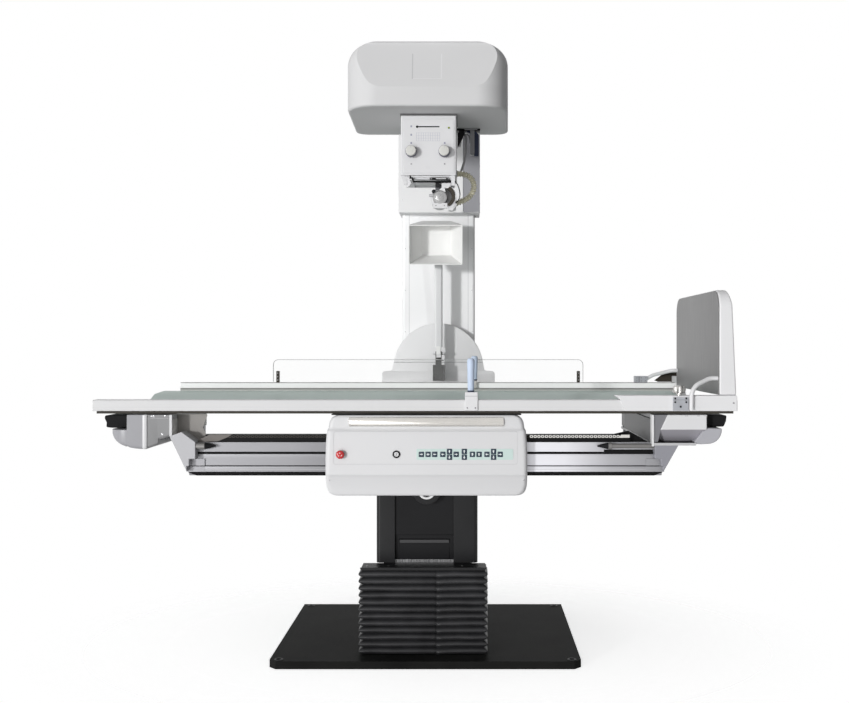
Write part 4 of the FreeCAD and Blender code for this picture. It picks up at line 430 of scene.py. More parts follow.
# node: (material, edge radius in metres); 0 keeps the CAD mesh with a better material
FINISH = {
    "floor_plate": ("plate_black", 0.0015), "mast": ("ground_steel", 0),
    "lift_screw": ("ground_steel", 0), "lift_sleeve": ("ground_steel", 0),
    "upright_tube": ("ground_steel", 0), "upright_shell": ("black_paint", 0.002),
    "upright_front_panels": ("panel_black", 0.0015), "trunnion_bearings": ("black_paint", 0),
    "tilt_gearmotor": ("casting_grey", 0.003), "bellows_top_frame": ("black_paint", 0.002),
    "carriage_plates": ("black_paint", 0.002), "trunnions": ("chrome_ring", 0.001),
    "receptor_housing": ("white_paint", 0.003), "beam_guides": ("casting_grey", 0.002),
    "cover_brackets": ("black_paint", 0.001), "switch_collars": ("dark_plastic", 0),
    "side_beams": ("beam_metal", 0.0008), "beam_arms": ("white_paint", 0.002),
    "end_frames": ("frame_taupe", 0.002), "slide_rails": ("ground_steel", 0.0005),
    "end_bumpers": ("bumper_rubber", 0.004), "rack_tray": ("rack_black", 0.001),
    "buffer_rods": ("rod_steel", 0), "buffer_tips": ("bumper_rubber", 0.001),
    "table_panel": ("top_laminate", 0.0015), "front_rail": ("rail_paint", 0.002),
    "rear_rail": ("rear_rail_paint", 0.002), "table_crossbars": ("beam_metal", 0.001),
    "side_screen": ("clear_sheet", 0), "screen_clamps": ("dark_bronze", 0.0008),
    "front_grip_clamp": ("white_paint", 0.0015), "rear_grip_clamp": ("clamp_metal", 0.001),
    "footrest_casing": ("casing_white", 0.006), "foot_plate": ("foot_steel", 0.0008),
    "footrest_frame": ("casing_white", 0.002), "footrest_tubes": ("white_paint", 0),
    "footrest_clamps": ("block_grey", 0.001), "column_bracket": ("white_paint", 0.004),
    "column_shell": ("column_white", 0.002), "sid_carriage": ("casing_white", 0.003),
    "tube_housing": ("lead_grey", 0.001), "collimator_box": ("white_moulding", 0.002),
    "compressor": ("white_paint", 0.002),
}

FINISHED = {}
for node_name, (finish, radius) in FINISH.items():
    if radius:
        FINISHED[node_name] = softened(node_name, finish, radius)
    else:
        paint(NODES[node_name], finish)


# ---------------------------------------------------------------- front cover
COVER_X = 5.0
COVER_FACE = -400.0
COVER_REAR = -350.0
SWITCH_HEIGHT = 719.0
STOP_X = -279.0
KEY_X = -94.0
FOIL = (-27.0, 293.0)
FOIL_HALF = 18.0
FOIL_FACE = -401.2


def cover_side():
    """(height, front y, half width) up the cover: sloping skirt, crease, flat face, recessed top."""
    return [(578.0, -371.0, 316.0), (580.5, -373.2, 323.0), (586.0, -374.6, 329.0), (596.0, -376.6, 333.0),
            (612.0, -381.4, 335.4), (630.0, -388.8, 336.0), (641.0, -393.6, 336.0), (646.5, -396.4, 336.0),
            (649.0, -398.6, 336.0), (651.5, -399.6, 336.0), (656.0, -400.0, 336.0), (700.0, -400.0, 336.0),
            (760.0, -400.0, 334.0), (790.0, -400.0, 331.5), (795.0, -399.4, 331.0), (798.5, -397.4, 330.0),
            (801.5, -394.4, 328.0), (805.0, -393.2, 326.5), (812.0, -393.0, 325.5), (826.0, -393.0, 323.0),
            (836.0, -392.8, 318.0), (842.0, -391.8, 311.0), (846.0, -389.0, 303.0), (848.0, -384.0, 297.0)]


def cover_shell():
    """Moulded operator cover."""
    shape = Shape()
    loops = []
    for z, front, half in cover_side():
        drop = max(0.0, 1.0 - (z - 578.0) / 38.0)
        radius = 16.0 + 6.0 * drop
        half = half - 5.0 * drop * drop * drop
        points = corner_arc(COVER_X - half + radius, front + radius, radius, 180, 270, 7)
        points += corner_arc(COVER_X + half - radius, front + radius, radius, 270, 360, 7)
        points += [(COVER_X + half, COVER_REAR), (COVER_X - half, COVER_REAR)]
        loops.append([(x, y, z) for x, y in points])
    shape.loft(loops, "white_moulding")
    shape.piece("cover_shell", "front_cover", sharp=55, replaces=True)


def groove_frame(shape, x0, x1, z0, z1, radius, width, face, paint_name, proud=0.15):
    """Thin closed line on a flat face, such as the edge of a recessed field."""
    outer = rounded_rectangle(x0, x1, z0, z1, radius, 5)
    inner = rounded_rectangle(x0 + width, x1 - width, z0 + width, z1 - width, radius - width, 5)
    rows = [[(x, face + 0.6, z) for x, z in outer], [(x, face - proud, z) for x, z in outer],
            [(x, face - proud, z) for x, z in inner], [(x, face + 0.6, z) for x, z in inner]]
    shape.loft(rows + rows[:1], paint_name, caps=False)


def cover_details():
    """Recessed field of the controls, the seams and the small screws of the cover, and a black strip of
    painted shadow in the gap under the rail.
    """
    shape = Shape()
    groove_frame(shape, -304.0, 309.0, 684.0, 796.5, 9.0, 1.6, COVER_FACE, "white_edge", 0.25)
    groove_frame(shape, -301.6, 306.6, 686.4, 794.1, 7.0, 0.7, COVER_FACE, "joint_shadow_light", 0.2)
    for x in (-318.0, 328.0):
        shape.screw((x, -389.6, 632.0), (0, -1, -0.42), 3.4, "white_paint")
    # painted shadow: black strip in the gap between the cover top and the rail
    shape.box((-311.0, 321.0), (-386.0, -352.0), (848.0, 851.0), "rack_black")
    shape.piece("cover_details", "front_cover", bevel=0.0002, segments=2)


def steel_strip():
    """Half-round brushed strip with closed, slightly rounded ends."""
    shape = Shape()
    loops = []
    half = 257.0
    turns = [math.radians(-90 + 180 * k / 12) for k in range(13)]
    for x, shrink in ((-half, 0.80), (-half + 1.0, 0.93), (-half + 3.0, 1.0), (half - 3.0, 1.0),
                      (half - 1.0, 0.93), (half, 0.80)):
        loops.append([(COVER_X + x, -393.0 - 10.0 * shrink * math.cos(turn),
                       826.0 + 15.5 * shrink * math.sin(turn)) for turn in turns])
    shape.loft(loops, "strip_steel")
    shape.piece("steel_strip", "hand_rail", sharp=50, replaces=True)


def arrow(shape, x, z, face, turn, size, paint_name, double=False):
    """Flat arrow symbol: shaft and head, pointing along turn degrees from +X."""
    spin = math.radians(turn)

    def place(a, b):
        return (x + a * math.cos(spin) - b * math.sin(spin), z + a * math.sin(spin) + b * math.cos(spin))

    tip, neck, tail, wide, thin = size, size * 0.15, -size, size * 0.75, size * 0.26
    back = [(tail, thin), (tail, -thin)]
    if double:
        back = [(-neck, thin), (-neck, wide), (tail, 0), (-neck, -wide), (-neck, -thin)]
    outline = [(tip, 0), (neck, wide), (neck, thin)] + back + [(neck, -thin), (neck, -wide)]
    shape.prism([place(a, b) for a, b in outline], face - 0.15, face, paint_name)


PAD_HALF = 9.0
PAD_PITCH = 22.0
FIRST_PAD = FOIL[0] + 16.0
PAD_FACE = -402.2


def pad_places():
    """(x, height offset, arrow turn, double arrow) of each of the fifteen pads."""
    half = PAD_HALF + 0.5
    places = [(FIRST_PAD, 0, 0, False), (FIRST_PAD + PAD_PITCH, 0, 0, True),
              (FIRST_PAD + 2 * PAD_PITCH, 0, 180, False)]
    for start in (FIRST_PAD + 71.0, FIRST_PAD + 217.0):
        places.append((start, 0, 180, False))
        places.append((start + PAD_PITCH, half, 90, False))
        places.append((start + PAD_PITCH, -half, 270, False))
        places.append((start + 2 * PAD_PITCH, 0, 0, False))
    places.append((FIRST_PAD + 142.0, half, 90, False))
    places.append((FIRST_PAD + 142.0, -half, 270, False))
    places.append((FIRST_PAD + 169.0, 0, 90, True))
    places.append((FIRST_PAD + 169.0 + PAD_PITCH, 0, 270, True))
    return places


def keypad():
    """Membrane with four printed lines, fifteen raised pads and their arrow symbols."""
    foil = Shape()
    z0, z1 = SWITCH_HEIGHT - FOIL_HALF, SWITCH_HEIGHT + FOIL_HALF
    outline = rounded_rectangle(FOIL[0], FOIL[1], z0, z1, 3.0, 4)
    foil.prism(outline, FOIL_FACE, COVER_FACE, "foil_green")
    for offset in (70.0, 121.0, 178.0, 220.0):
        x = FIRST_PAD + offset - 17.0
        foil.box((x, x + 0.5), (FOIL_FACE - 0.08, FOIL_FACE), (z0 + 4, z1 - 4), "print_pale")
    foil.piece("keypad_foil", "control_foil", bevel=0.0002, segments=2, replaces=True)
    pads = Shape()
    small = PAD_HALF - 0.8
    for x, dz, turn, double in pad_places():
        z = SWITCH_HEIGHT + dz
        block = rounded_rectangle(x - PAD_HALF, x + PAD_HALF, z - PAD_HALF, z + PAD_HALF, 2.0, 3)
        top = rounded_rectangle(x - small, x + small, z - small, z + small, 1.6, 3)
        pads.loft([[(a, FOIL_FACE, b) for a, b in block], [(a, PAD_FACE + 0.4, b) for a, b in block],
                   [(a, PAD_FACE, b) for a, b in top]], "pad_slate")
        arrow(pads, x, z, PAD_FACE, turn, 5.2, "print_white", double)
    pads.piece("keypad_pads", "control_pads", sharp=30, replaces=True)


def switches():
    """Bezel rings, mushroom stop button with its turning arrow, and key switch."""
    collars = Shape()
    collars.ring((STOP_X, COVER_FACE, SWITCH_HEIGHT), (STOP_X, COVER_FACE - 4, SWITCH_HEIGHT), 13.0, 7.2,
                 "stop_red_dark")
    collars.ring((KEY_X, COVER_FACE, SWITCH_HEIGHT), (KEY_X, COVER_FACE - 4, SWITCH_HEIGHT), 12.5, 8.2,
                 "dark_plastic")
    collars.ring((KEY_X, COVER_FACE, SWITCH_HEIGHT), (KEY_X, COVER_FACE - 4.6, SWITCH_HEIGHT), 8.2, 6.1,
                 "chrome_ring")
    collars.piece("switch_bezels", "switch_collars", sharp=30)
    button = Shape()
    back = COVER_FACE - 8.3
    button.lathe((STOP_X, back, SWITCH_HEIGHT), FORWARD,
                 [(0, 12.5), (1.2, 13.8), (3.5, 14.2), (5.6, 13.6), (7.4, 12.0), (8.6, 9.0), (9.0, 5.0),
                  (9.1, 0.5)],
                 "stop_red", 40)
    for k in range(3):
        turn = math.radians(90 + 120 * k)
        arrow(button, STOP_X + 5.6 * math.cos(turn), SWITCH_HEIGHT + 5.6 * math.sin(turn), back - 8.9,
              math.degrees(turn) + 80, 2.8, "print_white")
    button.piece("stop_mushroom", "stop_button", sharp=50, replaces=True)
    rotor = Shape()
    rotor.lathe((KEY_X, COVER_FACE + 10, SWITCH_HEIGHT), FORWARD, [(0, 5.8), (14.2, 5.8), (15.0, 5.0)],
                "chrome_ring", 32)
    rotor.box((KEY_X - 0.9, KEY_X + 0.9), (COVER_FACE - 5.25, COVER_FACE - 4.9), (715.2, 722.8),
              "dark_plastic")
    rotor.piece("key_core", "key_rotor", sharp=40, replaces=True)


cover_shell()
cover_details()
steel_strip()
keypad()
switches()

# ---------------------------------------------------------------- table ends and beams
END_Y0 = -376.0
END_Y1 = 376.0
WALL_BACK_Y = 76.0
END_TOP = 848.0


def along_x(name, stations, paint_name, back=END_Y1, radius=9.0):
    """Moulded end piece: closed sections across the table, one for each (x, front y, low z, top z)."""
    shape = Shape()
    loops = []
    for x, front, low, top in stations:
        edge = min(radius, (top - low) * 0.45)
        tail = back - (front - END_Y0) if back == END_Y1 else back
        section = rounded_rectangle(front, tail, low, top, edge, 5, top=1.0)
        loops.append([(x, y, z) for y, z in section])
    shape.loft(loops, paint_name)
    shape.piece(name, "end_covers", sharp=42, replaces=True)


def left_shell():
    """Bulging shell under the left bumper, painted grey as shade, a bright strip of painted highlight along
    its rounded edge, and the stepped flat panel beside it, painted darker grey as shade.
    """
    left = -1060.0
    round_y = 58.0
    stations = []
    for k in range(13):
        share = k / 12
        x = left + 117.0 * (1 - math.cos(share * math.pi / 2))
        low = 797.0 - 64.0 * math.sin(share * math.pi / 2)
        inside = max(0.0, left + round_y - x)
        front = END_Y0 + round_y - math.sqrt(round_y ** 2 - inside ** 2)
        top = 797.5 if x < -995.5 else END_TOP
        if top > 800 and stations and stations[-1][3] < 800:
            stations.append((-995.6, front, low + 4, 797.5))
            stations.append((-995.0, front, low + 4, END_TOP))
        stations.append((x, front, low, top))
    # the shell is painted grey as shade
    along_x("left_shell", stations, "shell_grey", radius=12.0)
    seam = -942.6
    # painted highlight: a bright strip where the rounded edge catches the light
    along_x("left_edge_highlight", [(seam, END_Y0 - 1.5, 733, END_TOP), (-940, END_Y0 - 2.5, 732.5, END_TOP),
                          (-931, END_Y0 - 2.5, 733.5, END_TOP), (-928.5, END_Y0 - 1.0, 735.5, END_TOP)],
            "edge_bright")
    # the flat panel is painted darker grey as shade
    along_x("left_panel", [(-928.4, END_Y0 + 1.5, 735.5, END_TOP), (-893.5, END_Y0 + 1.5, 747.0, END_TOP),
                           (-892.0, END_Y0 + 1.5, 750.0, END_TOP), (-891.0, END_Y0 + 1.5, 765.0, END_TOP)],
            "panel_grey", back=WALL_BACK_Y)
    along_x("left_panel_end", [(-891.0, END_Y0 + 1.5, 765.0, END_TOP),
                               (-853.0, END_Y0 + 1.5, 777.0, END_TOP)],
            "panel_grey", back=WALL_BACK_Y)
    along_x("left_edge", [(-853.0, END_Y0 - 1.0, 776.5, END_TOP), (-844.8, END_Y0 - 1.0, 779.5, END_TOP)],
            "edge_bright", back=WALL_BACK_Y, radius=2.0)
    trim = Shape()
    for x, z in ((-911.0, 844.0), (-867.0, 844.0), (-876.0, 783.0), (-905.0, 843.0)):
        trim.screw((x, END_Y0 + 1.4, z), FORWARD, 4.0)
    trim.box((-918, -856), (END_Y0 - 0.2, END_Y0 + 1.6), (836.0, 837.2), "joint_shadow_light")
    trim.piece("left_panel_screws", "end_covers")


def right_shell():
    """Right end: upright strip, recessed box painted dark as shade, a black line of painted shadow over the
    bottom plate, flat upper face, receding lower face painted darker as shade, and rounded end.
    """
    shape = Shape()
    shape.box((757.5, 764.5), (END_Y0 - 1.5, END_Y0 + 30), (743.0, END_TOP), "edge_bright")
    shape.prism([(765, 757), (778, 757), (789, 799), (812, END_TOP), (765, END_TOP)], END_Y0 + 4, 345.0,
                "box_shade")
    shape.box((762, 905), (END_Y0 - 0.5, 340.0), (745.5, 754.5), "edge_plate")
    # painted shadow: black line above the bottom plate
    shape.box((768, 900), (END_Y0 + 0.5, 330.0), (754.5, 757.0), "rack_black")
    shape.piece("right_box", "end_covers", bevel=0.0012, segments=2)
    face = Shape()
    brow = 799.0
    low = 757.0
    back = END_Y1 - 6
    upper = [[(810, y, END_TOP), (941, y, END_TOP), (941, y, brow), (787, y, brow)] for y in (END_Y0, back)]
    face.loft(upper, "white_moulding")
    lower = [[(787.0, END_Y0, brow), (941, END_Y0, brow), (900, END_Y0 + 44, low), (777, END_Y0 + 44, low)],
             [(787.0, back, brow), (941, back, brow), (900, back - 44, low), (777, back - 44, low)]]
    # the receding lower face is painted darker as shade
    face.loft(lower, "face_shade")
    face.piece("right_face", "end_covers", bevel=0.003, segments=3, sharp=30, replaces=True)
    end = Shape()
    outline = [(899.0, 756.0), (906.0, 750.0), (924.0, 749.0)]
    outline += corner_arc(946.0, 797.0, 47.0, -82, -5, 10) + [(994.0, 802.0), (940.0, 804.0), (934.0, 800.0)]
    end.prism(outline, END_Y0 + 6, END_Y1 - 8, "end_grey")
    end.piece("right_end", "end_covers", bevel=0.006, segments=4)
    trim = Shape()
    for x in (872.0, 911.0, 936.0):
        trim.box((x - 5, x + 5), (END_Y0 - 1.0, END_Y0 + 1), (843.0, END_TOP), "joint_shadow_light")
    trim.piece("right_top_marks", "end_covers")


def repaint(piece, test, paint_name):
    """Give the faces of a finished CAD piece that pass the test another paint."""
    data = piece.data
    data.materials.append(PAINT[paint_name])
    number = len(data.materials) - 1
    for face in data.polygons:
        if test(face.center * 1000, face.normal):
            face.material_index = number


def beam_bands():
    """Grooves, line, black underside and slanted ends of the front beam, a black patch of painted shadow
    under the right rod, and the rear beam's groove.
    """
    shape = Shape()
    y = -346.0
    shape.box((-767, 767), (y + 1.2, y + 6.8), (714.4, 721.6), "rack_black")
    shape.box((-788, 788), (y - 0.2, y + 2.6), (673.4, 675.8), "rack_black")
    shape.box((-796, 796), (y - 4.15, y - 3.6), (663.0, 664.0), "joint_shadow_light")
    loops = []
    for front, z, x in ((-351.2, 655.0, 797.0), (-350.2, 653.0, 797.0), (-342.7, 641.4, 771.0)):
        loops.append([(-x, front, z), (x, front, z), (x, -315.5, z), (-x, -315.5, z)])
    shape.loft(loops, "rack_black")
    # painted shadow: black patch below the right buffer rod
    shape.box((601, 766), (y - 0.4, y + 1), (714.4, 729.5), "rack_black")
    for sign in (-1, 1):
        for low, high, reach in ((676.0, 698.5, 798.0), (655.2, 673.0, 803.0)):
            xs = sorted((sign * 742.0, sign * reach))
            shape.box(xs, (y - 4.6, y - 0.5), (low, high), "beam_metal")
    shape.piece("beam_bands", "side_beams")
    rear = Shape()
    rear.box((-905, 769), (339.2, 344.8), (714.4, 721.6), "rack_black")
    rear.piece("rear_beam_groove", "side_beams")


# the chain from its first link to its last, and where its bright, wiped end begins
CHAIN_START = -728.0
CHAIN_LINKS = 110
CHAIN_WIPED = 340.0


def rack_chain():
    """Roller chain along the front of its tray, the ends of the tray, and dark plates of painted shade where
    the inner faces of the end frames lie in shadow.
    """
    shape = Shape()
    front = -342.0
    z = 773.0
    pitch = 12.7
    for k in range(CHAIN_LINKS):
        x = CHAIN_START + pitch * k
        link = rounded_rectangle(x, x + 11, z - 4.5, z + 4.5, 3.0, 2)
        shape.prism(link, front - 0.9, front + 1, "chain_bright" if x > CHAIN_WIPED else "chain_dark")
        shape.lathe((x + 5.5, front - 0.8, z), FORWARD, [(0, 2.4), (0.6, 2.2), (0.6, 0.3)], "rack_black", 10)
    shape.piece("rack_chain", "rack_tray", sharp=50)
    lip = Shape()
    lip.prism([(-771, 754), (-768, 760), (-727, 779.3), (-652, 779.3), (-668, 770), (-700, 757)], -343.6,
              -318.0, "tray_brown")
    lip.prism([(652, 769), (688, 769), (688, 779), (660, 779)], -344.0, -341.0, "chain_bright")
    lip.piece("tray_ends", "rack_tray")
    # painted shade: dark plates where the end frames' inner faces lie in shadow
    web = Shape()
    web.prism([(641, 780), (688, 790.6), (766, 746.6), (766, 737), (641, 756.7)], -316.0, -312.5,
              "rack_black")
    web.prism([(-862, 846), (-743, 846), (-743, 841), (-757, 803), (-743, 769), (-747, 755), (-781, 748),
               (-859, 786)], -315.0, -312.0, "web_taupe")
    web.piece("frame_shadow_plates", "end_frames")


left_shell()
right_shell()
beam_bands()
rack_chain()
# painted shade: the front faces of both gussets get darker copies of their white paint, the right one
# darkest, and the right end frame is painted near black
repaint(FINISHED["beam_arms"], lambda c, n: c.x > 600, "gusset_shade")
repaint(FINISHED["beam_arms"], lambda c, n: c.x < -600, "gusset_pale")
repaint(FINISHED["end_frames"], lambda c, n: c.x > 600, "frame_shade")

# ---------------------------------------------------------------- table top, rails, screen, grips
RAIL_X = (-1109.0, 1042.0)
SCREEN_X = (-663.0, 620.0)
SCREEN_TOP = 1023.0
NOTCH_PITCH = 102.0


def front_rail_trim():
    """Dark strip of painted shade in the recess under the front rail, with its stop notches, and the fine
    ribs of the extrusion.
    """
    shape = Shape()
    # painted shade in the recess of the rail's lower lip
    shape.box((RAIL_X[0] + 12, RAIL_X[1] - 12), (-373.2, -371.0), (852.2, 860.9), "lip_bronze")
    for k in range(19):
        x = -913.0 + NOTCH_PITCH * k
        shape.box((x - 9, x + 9), (-373.9, -372.0), (858.4, 861.0), "dark_bronze")
    for z in (891.5, 872.0, 866.5):
        shape.box((RAIL_X[0] + 2, RAIL_X[1] - 2), (-380.15, -379.0), (z, z + 0.9), "print_pale_grey")
    shape.box((RAIL_X[0] + 2, RAIL_X[1] - 2), (-343.0, -340.2), (897.6, 898.3), "joint_shadow_light")
    shape.piece("front_rail_trim", "front_rail")


def rear_rail_trim():
    """Dark top line of the rear rail, and between it and the laminate a painted highlight along the lip, then
    bands that darken towards the rail.
    """
    shape = Shape()
    x0, x1 = RAIL_X[0] + 68, RAIL_X[1] - 2
    shape.box((x0, x1), (421.6, 423.0), (926.4, 927.9), "dark_bronze")
    # a painted highlight along the lip of the laminate, then bands that darken towards the rail
    for z, paint_name in (((901.5, 905.5), "top_border"), ((896.5, 901.5), "border_mid"),
                          ((894.0, 896.5), "border_pale")):
        shape.box((x0, x1), (420.9, 421.9), z, paint_name)
    shape.piece("rear_rail_trim", "rear_rail")


def screen_edge():
    """Polished edge of the clear screen, a thin grey line, and the screws of its clamps."""
    shape = Shape()
    left, right = SCREEN_X
    radius = 22.0
    path = [(left, 931.0)] + corner_arc(left + radius, SCREEN_TOP - radius, radius, 180, 90, 8)
    path += corner_arc(right - radius, SCREEN_TOP - radius, radius, 90, 0, 8) + [(right, 931.0)]
    loops = []
    for before, here, after in zip(path[:1] + path, path, path[1:] + path[-1:]):
        along = Vector((after[0] - before[0], after[1] - before[1])).normalized()
        inward = Vector((along.y, -along.x)) * 2.0
        x, z = here
        loops.append([(x, 437.8, z), (x + inward.x, 437.8, z + inward.y),
                      (x + inward.x, 443.2, z + inward.y), (x, 443.2, z)])
    shape.loft(loops, "screen_edge")
    shape.piece("screen_edge", "side_screen")
    screws = Shape()
    screws.screws((left + 20, right - 20), 435.0, (938.0, 952.0, 966.0), 2.6)
    screws.piece("screen_screws", "screen_clamps")


def ribbed(radius, depth, ribs):
    """Radii round a handle or knob, two points on each rib and two in each valley."""
    return [radius - (depth if k % 4 in (0, 1) else 0.0) for k in range(ribs * 4)]


def grip_handle(node, x, y, z0, z1, r0, r1):
    """Tapered handle, wider at its top, with fine ribs along it."""
    shape = Shape()
    ribs = 22
    steps = [(0.0, -1.2), (0.012, 0.0), (0.3, 0.0), (0.6, 0.0), (0.90, 0.0), (0.95, -1.0), (0.98, -2.8),
             (1.0, -6.0)]
    loops = []
    for share, drop in steps:
        radius = r0 + (r1 - r0) * share + drop
        loops.append(circle(Vector((x, y, z0 + (z1 - z0) * share)), X_AXIS, Y_AXIS,
                            ribbed(radius, 0.45, ribs)))
    shape.loft(loops, "grip_blue")
    shape.ring((x, y, z0 - 0.5), (x, y, z0 + 5), r0 + 1.0, r0 - 3.0, "grip_navy")
    shape.piece(node + "_handle", node, sharp=60, replaces=True)


def grip_seats():
    """Shadow line under the cap of the front block, and its screws."""
    shape = Shape()
    shape.box((133.2, 175.8), (-385.3, -384.0), (909.5, 912.0), "joint_shadow_light")
    shape.screws((141.0, 168.0), -385.0, (872.0,), 2.8)
    shape.piece("front_block_trim", "front_grip_clamp")


front_rail_trim()
rear_rail_trim()
screen_edge()
grip_handle("front_grip", 153.0, -360.0, 924.0, 1037.0, 10.5, 13.0)
grip_handle("rear_grip", 170.0, 420.0, 936.5, 1037.5, 11.0, 14.0)
grip_seats()

# ---------------------------------------------------------------- footrest
SKIRT_Y = -384.0


def block_screws():
    """Screws and upper edge of the front clamp block, and the tip, line and end screw of the skirt."""
    shape = Shape()
    for x, z in ((831.6, 891.3), (868.5, 891.3), (849.6, 876.0), (831.6, 904.0), (868.5, 904.0)):
        shape.lathe((x, -393.0, z), FORWARD, [(-1, 3.2), (0.5, 3.2), (0.9, 2.4)], "rack_black", 18)
    shape.box((826.0, 875.0), (-393.4, -392.0), (898.6, 899.6), "joint_shadow")
    shape.piece("block_screws", "footrest_clamps")
    skirt = Shape()
    skirt.screw((1028.0, SKIRT_Y, 888.0), FORWARD, 3.6)
    skirt.prism([(631.0, 913.2), (652.0, 913.2), (652.0, 903.0), (648.0, 902.0)], SKIRT_Y, -340.5,
                "casing_white")
    skirt.box((652.0, 1039.0), (SKIRT_Y - 0.2, -383.0), (911.6, 912.4), "print_pale_grey")
    skirt.piece("skirt_trim", "footrest_frame", bevel=0.0006, segments=2)


def lobed_knob():
    """Cast clamp knob with four broad lobes on a collar."""
    shape = Shape()
    x, y = 850.5, -364.0
    levels = [(913.5, 9.0, 0.0), (919.0, 9.0, 0.0), (919.5, 15.0, 0.5), (921.0, 17.0, 1.0),
              (940.0, 17.0, 1.0), (943.5, 15.5, 1.0), (945.0, 12.0, 0.8), (945.2, 5.0, 0.0)]
    loops = []
    for z, radius, lobe in levels:
        reach = [radius + lobe * 3.0 * math.cos(math.pi * k / 8) for k in range(64)]
        loops.append(circle(Vector((x, y, z)), X_AXIS, Y_AXIS, reach))
    shape.loft(loops, "clamp_metal")
    shape.piece("lobed_knob", "clamp_knob", sharp=50, replaces=True)


def rear_shade_plate():
    """Dark plate of painted shade in the opening under the bent tube at the rear, and the trim of the rear
    clamp block.
    """
    shape = Shape()
    # painted shade: a dark plate where the opening under the bent tube lies in shadow
    outline = [(915.0, 936.0), (952.0, 964.0), (985.0, 969.0), (1030.0, 969.0), (1030.0, 930.0),
               (930.0, 930.0)]
    shape.prism(outline, 444.0, 448.0, "dark_bronze")
    shape.piece("rear_shade_plate", "footrest_frame")
    clamp = Shape()
    clamp.box((831.0, 882.0), (417.6, 419.0), (929.5, 953.5), "block_grey")
    clamp.screws((838.0, 856.0, 874.0), 417.6, (935.0, 947.5), 2.8)
    clamp.box((846.0, 849.0), (417.0, 418.0), (930.0, 953.0), "joint_shadow")
    clamp.piece("rear_clamp_trim", "footrest_clamps")


def casing_screws():
    """Screws on the back of the casing."""
    shape = Shape()
    for y in (-300.0, -30.0, 240.0):
        for z in (960.0, 1180.0):
            shape.screw((1033.0 if z < 1000 else 1030.5, y, z), (1, 0, 0), 4.0)
    shape.piece("casing_screws", "footrest_casing")


block_screws()
lobed_knob()
rear_shade_plate()
casing_screws()

# ---------------------------------------------------------------- column, carriage, pivot cover
COLUMN_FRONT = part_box("column_shell")[0].y / MM
COLUMN_BACK = 790.0
CARRIAGE_FRONT = 560.0
PIVOT_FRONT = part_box("pivot_cover")[0].y / MM
SHADE_STRIP = (124.0, 194.0)
PIVOT = (16.0, 983.0)
PIVOT_RADIUS = 193.0
SEAM_HEIGHT = 1009.0


def pivot_shell():
    """Half disc on a stepped foot with hollow fillets, with the seam line across it."""
    cx, cz = PIVOT
    lean = math.degrees(math.asin((SEAM_HEIGHT - cz) / PIVOT_RADIUS))

    def outline(inset):
        r = PIVOT_RADIUS - inset
        points = corner_arc(cx, cz, r, lean, 180 - lean, 40)
        left = [(-181.0 + inset, 979.0), (-184.0 + inset, 972.0)]
        left += corner_arc(-194.0, 985.0, 13.5, -40, -95, 5)
        left += corner_arc(-213.0 + inset, 957.0 - inset, 13.0, 90, 180, 5)
        left += [(-226.0 + inset, 922.0)]
        right = [(2 * cx - x, z) for x, z in reversed(left)]
        return points + left + right

    shape = Shape()
    back = PIVOT_FRONT + 34.0
    loops = []
    for y, inset in ((back, 0.0), (PIVOT_FRONT + 3.0, 0.0), (PIVOT_FRONT + 0.9, 0.9), (PIVOT_FRONT, 3.0)):
        loops.append([(x, y, z) for x, z in outline(inset)])
    shape.loft(loops, "pivot_white")
    seam_y = PIVOT_FRONT - 0.25
    shape.box((-174, 206), (seam_y, PIVOT_FRONT + 1), (SEAM_HEIGHT - 1.2, SEAM_HEIGHT + 0.2), "joint_shadow")
    shape.box((-176, 208), (seam_y, PIVOT_FRONT + 1), (SEAM_HEIGHT + 14.5, SEAM_HEIGHT + 15.1), "white_shade")
    shape.piece("pivot_shell", "pivot_cover", sharp=45, replaces=True)


def column_trim():
    """Long seams and screws of the column front, and the panel and screws of its back."""
    shape = Shape()
    front = COLUMN_FRONT - 0.2
    for x in (-112.0, 143.0):
        shape.box((x, x + 1.6), (front, COLUMN_FRONT + 1), (1030.0, 1650.0), "joint_shadow_light")
    for z in (1140.0, 1320.0, 1500.0):
        for x in (-128.0, 160.0):
            shape.screw((x, COLUMN_FRONT, z), FORWARD, 3.2, "column_white")
    for z in (1200.0, 1700.0, 2200.0):
        for x in (-100.0, 130.0):
            shape.screw((x, COLUMN_BACK, z), (0, 1, 0), 4.0)
    shape.box((-90.0, 122.0), (COLUMN_BACK, COLUMN_BACK + 1.2), (1100.0, 2280.0), "column_white")
    shape.piece("column_trim", "column_shell", bevel=0.0003, segments=2)


def carriage_front():
    """Front plate of the tube carriage with rounded lower corners, a shadow gap, and a grey strip of painted
    shadow from the head on its right part.
    """
    shape = Shape()
    x0, x1 = -152.0, 122.0
    z0, z1 = 1646.0, 2050.0
    outline = [(x0 + 10, z0), (x1 - 4, z0), (x1, z0 + 4), (x1, z1), (x0, z1), (x0, z0 + 12)]
    shape.prism(outline, CARRIAGE_FRONT - 3.0, CARRIAGE_FRONT, "pivot_white")
    shape.box((x1, x1 + 2.5), (CARRIAGE_FRONT - 0.4, CARRIAGE_FRONT + 1), (z0 + 6, z1), "joint_shadow")
    # painted shadow: the head's shadow on the right part of the carriage front
    side = SHADE_STRIP
    shape.prism([(side[0], z0 - 0.5), (side[1], z0 + 4), (side[1], z1), (side[0], z1)], CARRIAGE_FRONT - 1.5,
                CARRIAGE_FRONT, "grey_side")
    shape.screws((-136.0,), CARRIAGE_FRONT - 3.0, (1700.0, 1990.0), 3.0, "column_white")
    for z in (1690.0, 1850.0, 2000.0):
        for y in (600.0, 700.0):
            shape.screw((194.0, y, z), (1, 0, 0), 4.0)
            shape.screw((-152.0, y, z), (-1, 0, 0), 4.0)
    shape.piece("carriage_front", "sid_carriage", bevel=0.0012, segments=2)


